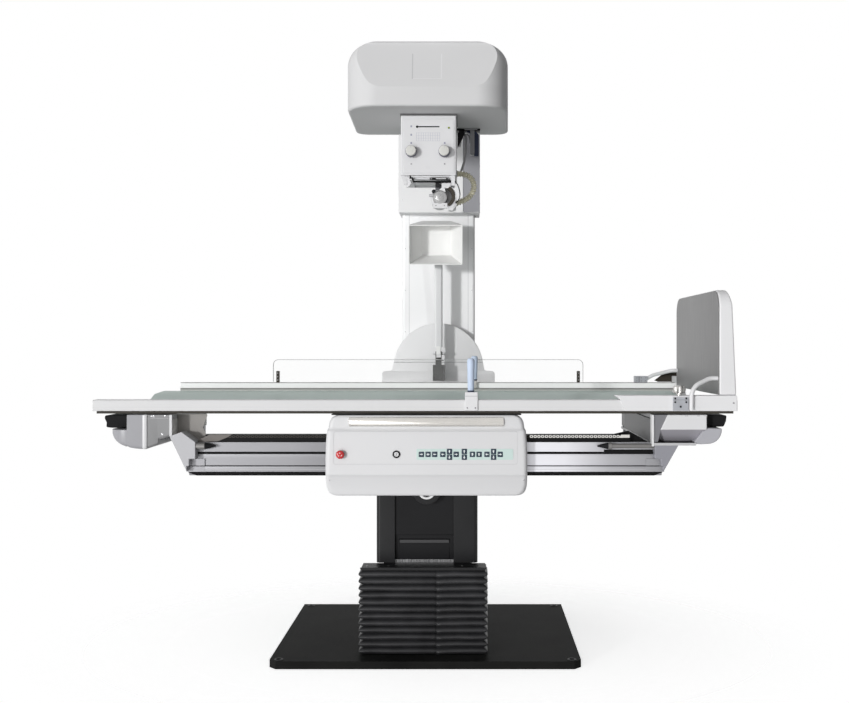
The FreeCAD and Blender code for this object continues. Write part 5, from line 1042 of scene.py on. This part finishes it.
def compressor_fork():
    """Dark bearing block with a slim fork for the compression bar, and the bar's pale collar."""
    shape = Shape()
    shape.box((-5.0, 43.0), (519.0, 600.0), (931.0, 998.0), "block_dark")
    shape.box((6.5, 31.5), (521.0, 549.0), (998.0, 1030.0), "block_dark")
    for x in (6.5, 29.0):
        shape.box((x, x + 2.5), (523.0, 547.0), (1030.0, 1056.0), "block_dark")
    shape.screw((13.0, 521.0, 1022.0), FORWARD, 2.6)
    shape.box((31.5, 41.0), (523.0, 530.0), (1016.0, 1019.0), "block_dark")
    shape.piece("compressor_fork", "compressor_block", bevel=0.0008, segments=2, replaces=True)
    collar = Shape()
    collar.box((9.6, 28.4), (518.5, 522.5), (1043.0, 1077.0), "hood_inside")
    repaint(FINISHED["compressor"], lambda c, n: c.z > 1405, "hood_inside")
    collar.piece("compressor_collar", "compressor", bevel=0.0006, segments=2)


compressor_fork()
pivot_shell()
column_trim()
carriage_front()

# ---------------------------------------------------------------- tube head
HEAD_LEFT = (-280.0, -288.0)
HEAD_RIGHT = (284.0, 297.0)
HEAD_FRONT = -290.0
HEAD_BACK = 192.0
HEAD_LOW = 1899.0
HEAD_HIGH = 2130.0
HEAD_SHOULDER = 70.0
HEAD_CORNER = 112.0
HEAD_BACK_CORNER = 42.0
HEAD_EDGE = 9.0
BROW_HEIGHT = 1967.0
FACE_LEAN = 0.26


def face_at(z):
    """Depth of the flat leaning upper front at one height."""
    return HEAD_FRONT + (z - BROW_HEIGHT) * FACE_LEAN


def head_level(z, pull, shrink, edge):
    """Plan at one height: rounded corners, cut off by the leaning face above the brow."""
    left, left_back = (x + pull + shrink for x in HEAD_LEFT)
    right, right_back = (x - pull - shrink for x in HEAD_RIGHT)
    front = HEAD_FRONT + shrink
    middle = front + HEAD_CORNER
    cut = math.degrees(math.asin(min(1.0, (middle - face_at(z) - edge) / HEAD_CORNER)))
    back = HEAD_BACK - shrink - 0.6 * pull
    radius = HEAD_BACK_CORNER + 0.4 * pull
    points = corner_arc(left + HEAD_CORNER, middle, HEAD_CORNER, 180, 180 + cut, 16)
    points += corner_arc(right - HEAD_CORNER, middle, HEAD_CORNER, 360 - cut, 360, 16)
    points += corner_arc(right_back - radius, back - radius, radius, 0, 90, 12)
    points += corner_arc(left_back + radius, back - radius, radius, 90, 180, 12)
    return [(x, y, z) for x, y in points]


def head_shell():
    """One moulding: flat leaning face above the brow, upright band below it, flat underside."""
    shape = Shape()
    loops = []
    for angle in (90, 60, 35, 15, 0):
        turn = math.radians(angle)
        loops.append(head_level(HEAD_LOW + HEAD_EDGE * (1 - math.sin(turn)), 0.0,
                                HEAD_EDGE * (1 - math.cos(turn)), 0.0))
    loops += [head_level(z, 0.0, 0.0, 0.0) for z in (1930.0, BROW_HEIGHT, 1980.0, 1995.0, 2010.0, 2025.0,
                                                     2040.0)]
    shoulder = HEAD_HIGH - HEAD_SHOULDER
    for angle in (0, 8, 16, 24, 32, 40, 47, 54, 60, 66, 72, 77, 82, 86, 90):
        turn = math.radians(angle)
        z = shoulder + HEAD_SHOULDER * math.sin(turn)
        fall = max(0.0, (z - HEAD_HIGH + HEAD_EDGE) / HEAD_EDGE)
        edge = -HEAD_EDGE * (1 - math.sqrt(1 - min(1.0, fall * fall)))
        loops.append(head_level(z, HEAD_SHOULDER * (1 - math.cos(turn)), 0.0, edge))
    shape.loft(loops, "head_white")
    shape.piece("head_shell", "head_cover", sharp=13, replaces=True)


def strip_on_face(shape, x0, x1, z0, z1, proud, paint_name):
    """Thin strip that lies on the leaning face."""
    loops = []
    for depth in (4.0, -proud):
        loops.append([(x, face_at(z) + depth, z) for x, z in ((x0, z0), (x1, z0), (x1, z1), (x0, z1))])
    shape.loft(loops, paint_name)


def head_window():
    """Square cover plate let into the leaning face, with painted shade on its left and upper edges and
    painted light on its right and lower edges for the walls of its recess.
    """
    shape = Shape()
    strip_on_face(shape, -49.0, 54.0, 1994.0, 2087.0, 0.2, "head_white")
    # painted shade and painted light for the recess walls: dark left edge, pale right and lower edges, faint
    # shade at the top
    strip_on_face(shape, -49.0, -45.6, 1994.0, 2087.0, 0.4, "head_gap")
    strip_on_face(shape, 50.0, 54.0, 1994.0, 2087.0, 0.4, "white_moulding")
    strip_on_face(shape, -45.6, 50.0, 1994.0, 1996.0, 0.4, "white_moulding")
    strip_on_face(shape, -45.6, 50.0, 2085.6, 2087.0, 0.4, "head_gap_faint")
    shape.piece("head_window", "head_cover")


head_shell()
head_window()

# ---------------------------------------------------------------- collimator
COLL_X = (-94.0, 102.0)
COLL_Z = (1682.0, 1892.0)
COLL_FACE = -176.0
KNOBS = (-57.0, 60.0)
KNOB_HEIGHT = 1764.0
MARKS = ((-57.0, 1854.0), (-57.0, 1824.0), (-57.0, 1795.0), (61.0, 1795.0))


def collimator_front():
    """Bevelled front panel with border line, scale slot, ruled field, lamp, marks and screws."""
    shape = Shape()
    face = COLL_FACE
    x0, x1 = COLL_X
    shape.box((x0 - 2, x1 + 3), (face - 1.0, face + 190), (COLL_Z[1] + 1, COLL_Z[1] + 6), "joint_shadow")
    outline = rounded_rectangle(x0 + 8, x1 - 8, COLL_Z[0] + 7, COLL_Z[1] - 13, 4.0, 4)
    inner = rounded_rectangle(x0 + 9, x1 - 9, COLL_Z[0] + 8, COLL_Z[1] - 14, 3.6, 4)
    shape.loft([[(x, face + 0.5, z) for x, z in outline], [(x, face - 0.9, z) for x, z in outline],
                [(x, face - 1.5, z) for x, z in inner]], "white_moulding")
    groove_frame(shape, x0 + 5.5, x1 - 5.5, COLL_Z[0] + 5, COLL_Z[1] - 10.5, 4.5, 1.1, face, "white_edge",
                 0.2)
    panel = face - 1.5
    slot = 1852.5
    shape.prism(rounded_rectangle(-38.0, 43.0, slot - 2.0, slot + 2.0, 1.6, 3), panel - 0.15, panel,
                "rack_black")
    shape.lathe((-36.0, panel, slot), FORWARD, [(0, 4.4), (0.5, 4.4), (0.9, 3.6)], "rack_black", 20)
    groove_frame(shape, -42.0, 49.0, 1842.0, 1866.0, 2.0, 0.5, panel, "white_shade", 0.12)
    for k in range(11):
        x = -39.0 + 8.2 * k
        shape.box((x, x + 1.2), (panel - 0.1, panel + 0.2), (1802.0, 1832.0), "print_faint")
    for k in range(4):
        z = 1802.0 + 9.6 * k
        shape.box((-39.0, 44.0), (panel - 0.1, panel + 0.2), (z, z + 0.7), "print_faint")
    shape.lathe((76.0, panel, 1848.5), FORWARD, [(-0.5, 3.6), (0.8, 3.6), (1.6, 2.8)], "dark_plastic", 18)
    shape.lathe((76.0, panel - 1.2, 1848.5), FORWARD, [(0, 2.9), (0.9, 2.6), (1.4, 1.5), (1.5, 0.3)],
                "lamp_green", 18)
    for x, z in MARKS:
        shape.prism(rounded_rectangle(x - 3, x + 3, z - 3.5, z + 3.5, 1.4, 2), panel - 0.12, panel,
                    "print_mark")
    shape.screws((-57.0, 61.0), panel, (1721.0,), 3.0)
    shape.prism(rounded_rectangle(-5.0, 10.0, 1703.0, 1714.0, 1.0, 2), panel - 0.3, panel, "print_pale_grey")
    shape.piece("collimator_front", "collimator_box", sharp=18)


def knurled_knob(name, node, x):
    """Grip knob: pale flat cap with a soft edge and a ribbed skirt painted dark as shade."""
    shape = Shape()
    ribs = 22
    front = COLL_FACE - 31.0
    back = COLL_FACE - 2.0
    loops = []
    for y, radius, depth in ((back, 19.6, 0.5), (back - 1.2, 20.6, 1.0), (front + 9.0, 20.0, 1.0),
                             (front + 7.0, 19.4, 0.0)):
        loops.append(circle(Vector((x, y, KNOB_HEIGHT)), X_AXIS, Z_AXIS, ribbed(radius, depth, ribs)))
    # the ribbed skirt is painted dark as shade
    shape.loft(loops, "knob_side")
    shape.lathe((x, front + 8.0, KNOB_HEIGHT), FORWARD,
                [(0, 18.6), (4.5, 18.4), (6.6, 17.6), (7.7, 16.0), (8.0, 14.0), (8.0, 0.4)], "knob_grey", 44)
    shape.box((x - 0.6, x + 0.6), (front - 0.25, front + 0.5), (KNOB_HEIGHT + 9, KNOB_HEIGHT + 15.5),
              "print_grey")
    shape.lathe((x, COLL_FACE + 10.0, KNOB_HEIGHT), FORWARD, [(0, 5.0), (14.0, 5.0)], "ground_steel", 20)
    shape.piece(name, node, sharp=40, replaces=True)


def under_rails():
    """Accessory rail with its lever and slotted holder, under the collimator."""
    shape = Shape()
    z1 = COLL_Z[0]
    face = COLL_FACE
    shape.prism([(-92, z1), (-70, z1), (-61, z1 - 27), (-64, z1 - 38), (-74, z1 - 41), (-81, z1 - 30)],
                face + 12, face + 26, "white_paint")
    shape.prism([(-74, z1 - 2), (-68, z1 - 2), (-58, z1 - 28), (-63, z1 - 34)], face + 10, face + 12.5,
                "white_shade")
    shape.box((-58, 84), (face + 14, face + 24), (z1 - 5, z1), "white_paint")
    rail_y = (face + 6, face + 170)
    shape.prism([(-59, z1 - 6), (-54, z1 - 6), (-47, z1 - 19), (84, z1 - 19), (84, z1 - 24), (-52, z1 - 24)],
                rail_y[0], rail_y[0] + 14, "rack_black")
    shape.box((-57, 84), (rail_y[0] + 14, rail_y[1]), (z1 - 12, z1 - 5), "white_shade")
    shape.box((8, 78), (face + 3, face + 10), (z1 - 16, z1 - 9), "rack_black")
    shape.box((30, 66), (face + 1.5, face + 4), (z1 - 14.0, z1 - 11.0), "white_edge")
    shape.screws((14.0, 74.0), face + 3, (z1 - 12.5,), 2.6)
    shape.box((84, 97), (face + 6, face + 60), (z1 - 36, z1), "white_moulding")
    shape.piece("under_rails", "collimator_box", bevel=0.0008, segments=2)


def meter_block():
    """Camera and meter block: white brackets, grey drum, dark curved cover and clamp foot."""
    shape = Shape()
    z1 = COLL_Z[0] - 24
    face = COLL_FACE
    shape.box((28, 44), (face + 20, face + 40), (z1 - 14, z1), "dark_plastic")
    shape.box((50, 82), (face + 14, face + 60), (z1 - 20, z1 - 2), "white_moulding")
    shape.prism([(48, z1 - 20), (60, z1 - 20), (64, z1 - 34), (50, z1 - 38), (40, z1 - 30)], face + 8,
                face + 30, "white_paint")
    shape.lathe((22, face + 16, z1 - 32), FORWARD, [(0, 7), (8, 7), (10, 5), (10, 0.4)], "dark_plastic", 18)
    shape.lathe((6, face + 26, z1 - 44), (0.96, -0.28, 0), [(0, 5), (26, 5), (28, 3.5)], "cable_grey", 16)
    drum = (44.0, face + 50.0, z1 - 54.0)
    shape.lathe(drum, FORWARD, [(0, 26), (40, 26), (44, 25), (47, 21), (47.5, 14), (50, 13.5), (51, 10),
                                (51, 0.5)], "ground_grey", 40)
    shape.lathe((drum[0], drum[1] - 48, drum[2]), FORWARD, [(0, 9.5), (1.0, 9.2), (1.2, 0.4)],
                "dark_plastic", 24)
    shape.box((20, 70), (face + 4, face + 16), (z1 - 92, z1 - 74), "white_moulding")
    shape.screws((30.0, 60.0), face + 4, (z1 - 83,), 2.4)
    arc_outer = corner_arc(58.0, z1 - 50.0, 40.0, -62, 58, 12)
    arc_inner = corner_arc(52.0, z1 - 50.0, 34.0, 54, -58, 12)
    shape.prism(arc_outer + arc_inner, face + 2, face + 62, "dark_bronze")
    arc_outer = corner_arc(60.0, z1 - 50.0, 42.5, -50, 50, 10)
    arc_inner = corner_arc(59.0, z1 - 50.0, 40.5, 50, -50, 10)
    shape.prism(arc_outer + arc_inner, face + 6, face + 56, "ground_steel")
    shape.prism([(72, z1 - 84), (92, z1 - 66), (104, z1 - 78), (88, z1 - 100), (74, z1 - 98)], face + 10,
                face + 46, "white_moulding")
    shape.prism([(84, z1 - 82), (94, z1 - 74), (98, z1 - 80), (89, z1 - 90)], face + 7, face + 11,
                "white_shade")
    shape.box((26, 78), (face + 60, face + 150), (z1 - 40, z1), "casting_grey")
    shape.piece("meter_block", "collimator_box", bevel=0.0008, segments=2)


def route_curve(name, points, radius):
    """Smooth NURBS line through the air near its points, in millimetres."""
    data = bpy.data.curves.new(name, "CURVE")
    data.dimensions = "3D"
    spline = data.splines.new("NURBS")
    spline.points.add(len(points) - 1)
    for point, place in zip(spline.points, points):
        point.co = (place[0] * MM, place[1] * MM, place[2] * MM, 1)
    spline.order_u = 3
    spline.use_endpoint_u = True
    data.resolution_u = 10
    data.bevel_depth = radius * MM
    data.bevel_resolution = 5
    data.use_fill_caps = True
    return linked(name, data)


def line_points(points, steps):
    """Evenly spaced points along the smooth line, with their directions."""
    probe = route_curve("probe", points, 0.0)
    probe.data.bevel_depth = 0.0
    probe.data.resolution_u = 24
    bpy.context.view_layer.update()
    data = bpy.data.meshes.new_from_object(probe)
    line = [vertex.co.copy() for vertex in data.vertices]
    bpy.data.objects.remove(probe)
    lengths = [0.0]
    for a, b in zip(line, line[1:]):
        lengths.append(lengths[-1] + (b - a).length)
    result = []
    k = 0
    for step in range(steps + 1):
        target = lengths[-1] * step / steps
        while k < len(line) - 2 and lengths[k + 1] < target:
            k += 1
        share = (target - lengths[k]) / max(lengths[k + 1] - lengths[k], 1e-9)
        result.append((line[k].lerp(line[k + 1], share), (line[k + 1] - line[k]).normalized()))
    return result


CONDUIT_ROUTE = [(102, -50, 1708), (124, -50, 1708), (154, -52, 1696), (168, -54, 1664), (158, -56, 1630),
                 (130, -58, 1608), (98, -58, 1598)]
CONDUIT_RIBS = 19


def conduit_hose():
    """Corrugated conduit: a rib and a groove repeated along the bend."""
    per_rib = 6
    stations = line_points(CONDUIT_ROUTE, CONDUIT_RIBS * per_rib)
    loops = []
    side = Vector(FORWARD)
    for k, (place, run) in enumerate(stations):
        across = side - run * side.dot(run)
        across.normalize()
        up = run.cross(across)
        wave = 0.5 - 0.5 * math.cos(2 * math.pi * k / per_rib)
        radius = 7.2 + 4.2 * wave ** 0.7
        loops.append(circle(place / MM, across, up, [radius] * 24))
    shape = Shape()
    shape.loft(loops, "conduit_beige")
    hose = shape.piece("conduit_hose", "conduit", sharp=70, replaces=True)
    for name, place in (("conduit_gland_high", (100, -50, 1708)), ("conduit_gland_low", (97, -58, 1598))):
        gland = Shape()
        gland.lathe((place[0] - 4, place[1], place[2]), (1, 0, 0),
                    [(0, 13.0), (5, 13.0), (6.5, 12.2), (7.5, 10.5), (10, 10.2)], "cable_grey", 6)
        gland.piece(name, "conduit", sharp=30)


def head_bracket():
    """Dark cable bracket under the head with the hanging navy strip."""
    shape = Shape()
    low = 1893.0
    shape.box((101, 189), (66, 104), (low - 3, low + 5), "rack_black")
    shape.box((108, 130), (70, 98), (low - 9, low - 3), "dark_plastic")
    strip = [(136.0, low - 3.0), (160.0, low - 2.0)] + corner_arc(162.0, low - 24.0, 22.0, 90, 0, 8)
    strip += [(184.0, low - 98.0), (167.0, low - 98.0)] + corner_arc(153.0, low - 30.0, 14.0, 0, 70, 6)
    shape.prism(strip, 72.0, 98.0, "grip_navy")
    shape.prism([(104, low - 8), (132, low - 8), (118, low - 40), (104, low - 66)], 74.0, 92.0,
                "dark_plastic")
    shape.piece("head_bracket", "tube_housing", bevel=0.001, segments=2)


def cables():
    """Grey cables that leave the head, arch over and follow the collimator's side."""
    runs = [("cable_arch", "tube_head", [(112, 106, 1836), (116, 106, 1862), (126, 106, 1880),
                                         (138, 106, 1886),
                                         (150, 106, 1876), (153, 106, 1850)], 2.8, 0.098, "cable_grey"),
            ("cable_side", "tube_head", [(134, 92, 1882), (136, 90, 1850), (134, 88, 1810), (128, 84, 1770),
                                         (118, 80, 1740), (108, 76, 1722)], 4.5, 0.164, "cable_grey"),
            ("cable_thin", "collimator", [(92, -150, 1668), (102, -148, 1662), (112, -146, 1640),
                                          (116, -146, 1616),
                                          (110, -146, 1594), (98, -148, 1588)], 1.8, 0.090, "rack_black")]
    for name, body, points, radius, length, paint_name in runs:
        cable = route_curve(name, points, radius)
        cable.data.materials.append(PAINT[paint_name])
        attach(cable, body)


collimator_front()
knurled_knob("knob_left_grip", "left_knob", KNOBS[0])
knurled_knob("knob_right_grip", "right_knob", KNOBS[1])
under_rails()
meter_block()
conduit_hose()
head_bracket()
cables()

# ---------------------------------------------------------------- bellows, floor plate, upright
BELLOWS_X = (-230.0, 211.0)
BELLOWS_Y = (-312.0, 312.0)
BELLOWS_SHOULDER = -207.0
BELLOWS_REAR = 158.0
BELLOWS_Z = (26.3, 312.0)
PLEATS = 12
FOLD = 15.0
SEAM_X = 36.0


def bellows_plan(inset, z, phase):
    """Plan of the bellows at one level, with a lapped seam in the front."""
    x0 = BELLOWS_X[0] + inset
    x1 = BELLOWS_X[1] - inset
    y0 = BELLOWS_Y[0] + inset
    y1 = BELLOWS_Y[1] - inset
    shoulder = BELLOWS_SHOULDER - inset
    half = BELLOWS_REAR - inset
    corner = 7.0
    points = [(x, y, z) for x, y in corner_arc(x0 + corner, y0 + corner, corner, 180, 270, 4)]
    for share in (0.15, 0.3, 0.45):
        x = x0 + (SEAM_X - x0) * share
        points.append((x, y0 + 0.9 * math.sin(9 * share + phase),
                       z + 0.8 * math.sin(7 * share + phase * 1.7)))
    for dx, push, lift in ((-9, 0, 0), (-4, 2.2, 0.6), (-1, 4.0, 1.4), (2, 1.4, 2.4), (8, -0.6, 2.2),
                           (20, 0.2, 1.2)):
        points.append((SEAM_X + dx, y0 + push, z - lift))
    for share in (0.4, 0.7):
        x = SEAM_X + (x1 - SEAM_X) * share
        points.append((x, y0 + 0.9 * math.sin(11 * share + phase), z - 0.9 * math.cos(5 * share + phase)))
    points += [(x, y, z) for x, y in corner_arc(x1 - corner, y0 + corner, corner, 270, 360, 4)]
    points += [(x1, shoulder, z), (half, shoulder, z), (half, y1, z), (-half, y1, z), (-half, shoulder, z),
               (x0, shoulder, z)]
    return points


def bellows_skin():
    """Pleated skin: rounded folds with sharp valleys between them, flat at both ends."""
    shape = Shape()
    low, high = BELLOWS_Z
    pitch = (high - low) / PLEATS
    steps = 8
    loops = []
    for k in range(PLEATS * steps + 1):
        share = (k % steps) / steps
        inset = FOLD * (1 - math.sin(math.pi * share) ** 0.75)
        z = low + pitch * k / steps
        plan = bellows_plan(inset, z, 1.3 * (k // steps))
        if k in (0, PLEATS * steps):
            plan = [(x, y, z) for x, y, _ in plan]
        loops.append(plan)
    shape.loft(loops, "bellows_cloth")
    skin = shape.piece("bellows_skin", "bellows", sharp=50, replaces=True, rides=False)
    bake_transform(skin)


def base_trim():
    """Washers round the anchor holes, and the screws and strips of the bellows frame."""
    washers = Shape()
    for x in (-492.0, 492.0):
        for y in (-357.0, 357.0):
            washers.ring((x, y, 25.9), (x, y, 27.6), 15.0, 9.3, "black_paint", 28)
    washers.piece("anchor_washers", "floor_plate")
    screws = Shape()
    for x in (-131.0, 123.0, -205.0, 186.0):
        screws.screw((x, -262.0, 320.0), (0, 0, 1), 4.0)
    screws.box((-224, 206), (-306.5, -303.0), (317.5, 323.0), "black_paint")
    screws.box((176, 206), (-303.0, -245.0), (319.8, 322.5), "black_paint")
    screws.piece("bellows_frame_trim", "bellows_top_frame", bevel=0.0008, segments=2)


def niche():
    """Dark edge above the block in the lower niche."""
    shape = Shape()
    shape.box((-96, 77), (-206.4, -203.0), (388.0, 399.5), "niche_edge")
    shape.piece("niche_edge", "upright_front_panels", bevel=0.001, segments=2)


bellows_skin()
base_trim()
niche()

# ---------------------------------------------------------------- floor, sky, lamps, camera
FLOOR_SIZE = 6.0
FLOOR_DROP = 0.0005
FADE_SQUEEZE = (0.72, 1.0, 1.0)
FADE_START = 0.45
FADE_END = 1.05
FLOOR_GLOW = 0.70


def seen_as_background(tree):
    """One for rays from the camera, from gloss and through clear parts, and none for soft light."""
    path = tree.nodes.new("ShaderNodeLightPath")
    seen = path.outputs["Is Camera Ray"]
    for kind in ("Is Glossy Ray", "Is Transmission Ray"):
        seen = add(tree, "Math", {0: seen, 1: path.outputs[kind]}, "Value", operation="MAXIMUM")
    return seen


def floor():
    """White floor that keeps the shadow near the table and fades into the white background."""
    mesh = bpy.data.meshes.new("floor")
    shape = bmesh.new()
    bmesh.ops.create_grid(shape, x_segments=1, y_segments=1, size=FLOOR_SIZE)
    shape.to_mesh(mesh)
    shape.free()
    plane = linked("floor", mesh)
    plane.location.z = -FLOOR_DROP
    material, tree, shader = new_material("floor_white")
    place = add(tree, "Mapping", {"Vector": add(tree, "TexCoord", {}, "Object"), "Scale": FADE_SQUEEZE},
                "Vector")
    reach = add(tree, "VectorMath", {0: place}, "Value", operation="LENGTH")
    feed(tree, shader, {
        "Roughness": ramp(tree, noise(tree, 40.0), 0.55, 0.65),
        "Alpha": ramp(tree, reach, 1.0, 0.0, FADE_START, FADE_END),
        "Base Color": (0.93, 0.93, 0.93, 1), "Emission Color": (1, 1, 1, 1), "Specular IOR Level": 0.1,
        "Emission Strength": add(tree, "Math", {0: seen_as_background(tree), 1: FLOOR_GLOW}, "Value",
                                 operation="MULTIPLY")})
    plane.data.materials.append(material)


def sky():
    """White behind the object, and a soft light that is stronger from the left and in front."""
    world = bpy.data.worlds.new("sky")
    bpy.context.scene.world = world
    world.use_nodes = True
    tree = world.node_tree
    side = add(tree, "VectorMath", {0: add(tree, "TexCoord", {}, "Generated"), 1: SKY_BRIGHT_SIDE}, "Value",
               operation="DOT_PRODUCT")
    soft = ramp(tree, side, SKY_DARK, SKY_LIGHT, -0.4, 1.0)
    strength = add(tree, "Mix", {"Factor": seen_as_background(tree), "A": soft, "B": 1.0}, "Result")
    feed(tree, tree.nodes["Background"], {"Color": (1, 1, 1, 1), "Strength": strength})


def sun(name, come_from, strength, spread):
    data = bpy.data.lights.new(name, "SUN")
    data.energy = strength
    data.angle = math.radians(spread)
    obj = linked(name, data)
    obj.rotation_euler = (-Vector(come_from)).to_track_quat("-Z", "Y").to_euler()


def camera():
    data = bpy.data.cameras.new("camera")
    data.lens = LENS
    data.sensor_width = SENSOR
    data.sensor_fit = "HORIZONTAL"
    data.shift_x = SHIFT[0]
    data.shift_y = SHIFT[1]
    data.clip_end = 60
    obj = linked("camera", data)
    obj.location = CAMERA_PLACE
    obj.rotation_euler = (math.pi / 2, 0, 0)
    bpy.context.scene.camera = obj


floor()
sky()
sun("key", KEY_FROM, KEY_STRENGTH, KEY_SPREAD)
sun("fill", FILL_FROM, FILL_STRENGTH, FILL_SPREAD)
camera()

bpy.context.scene.view_settings.view_transform = "Standard"
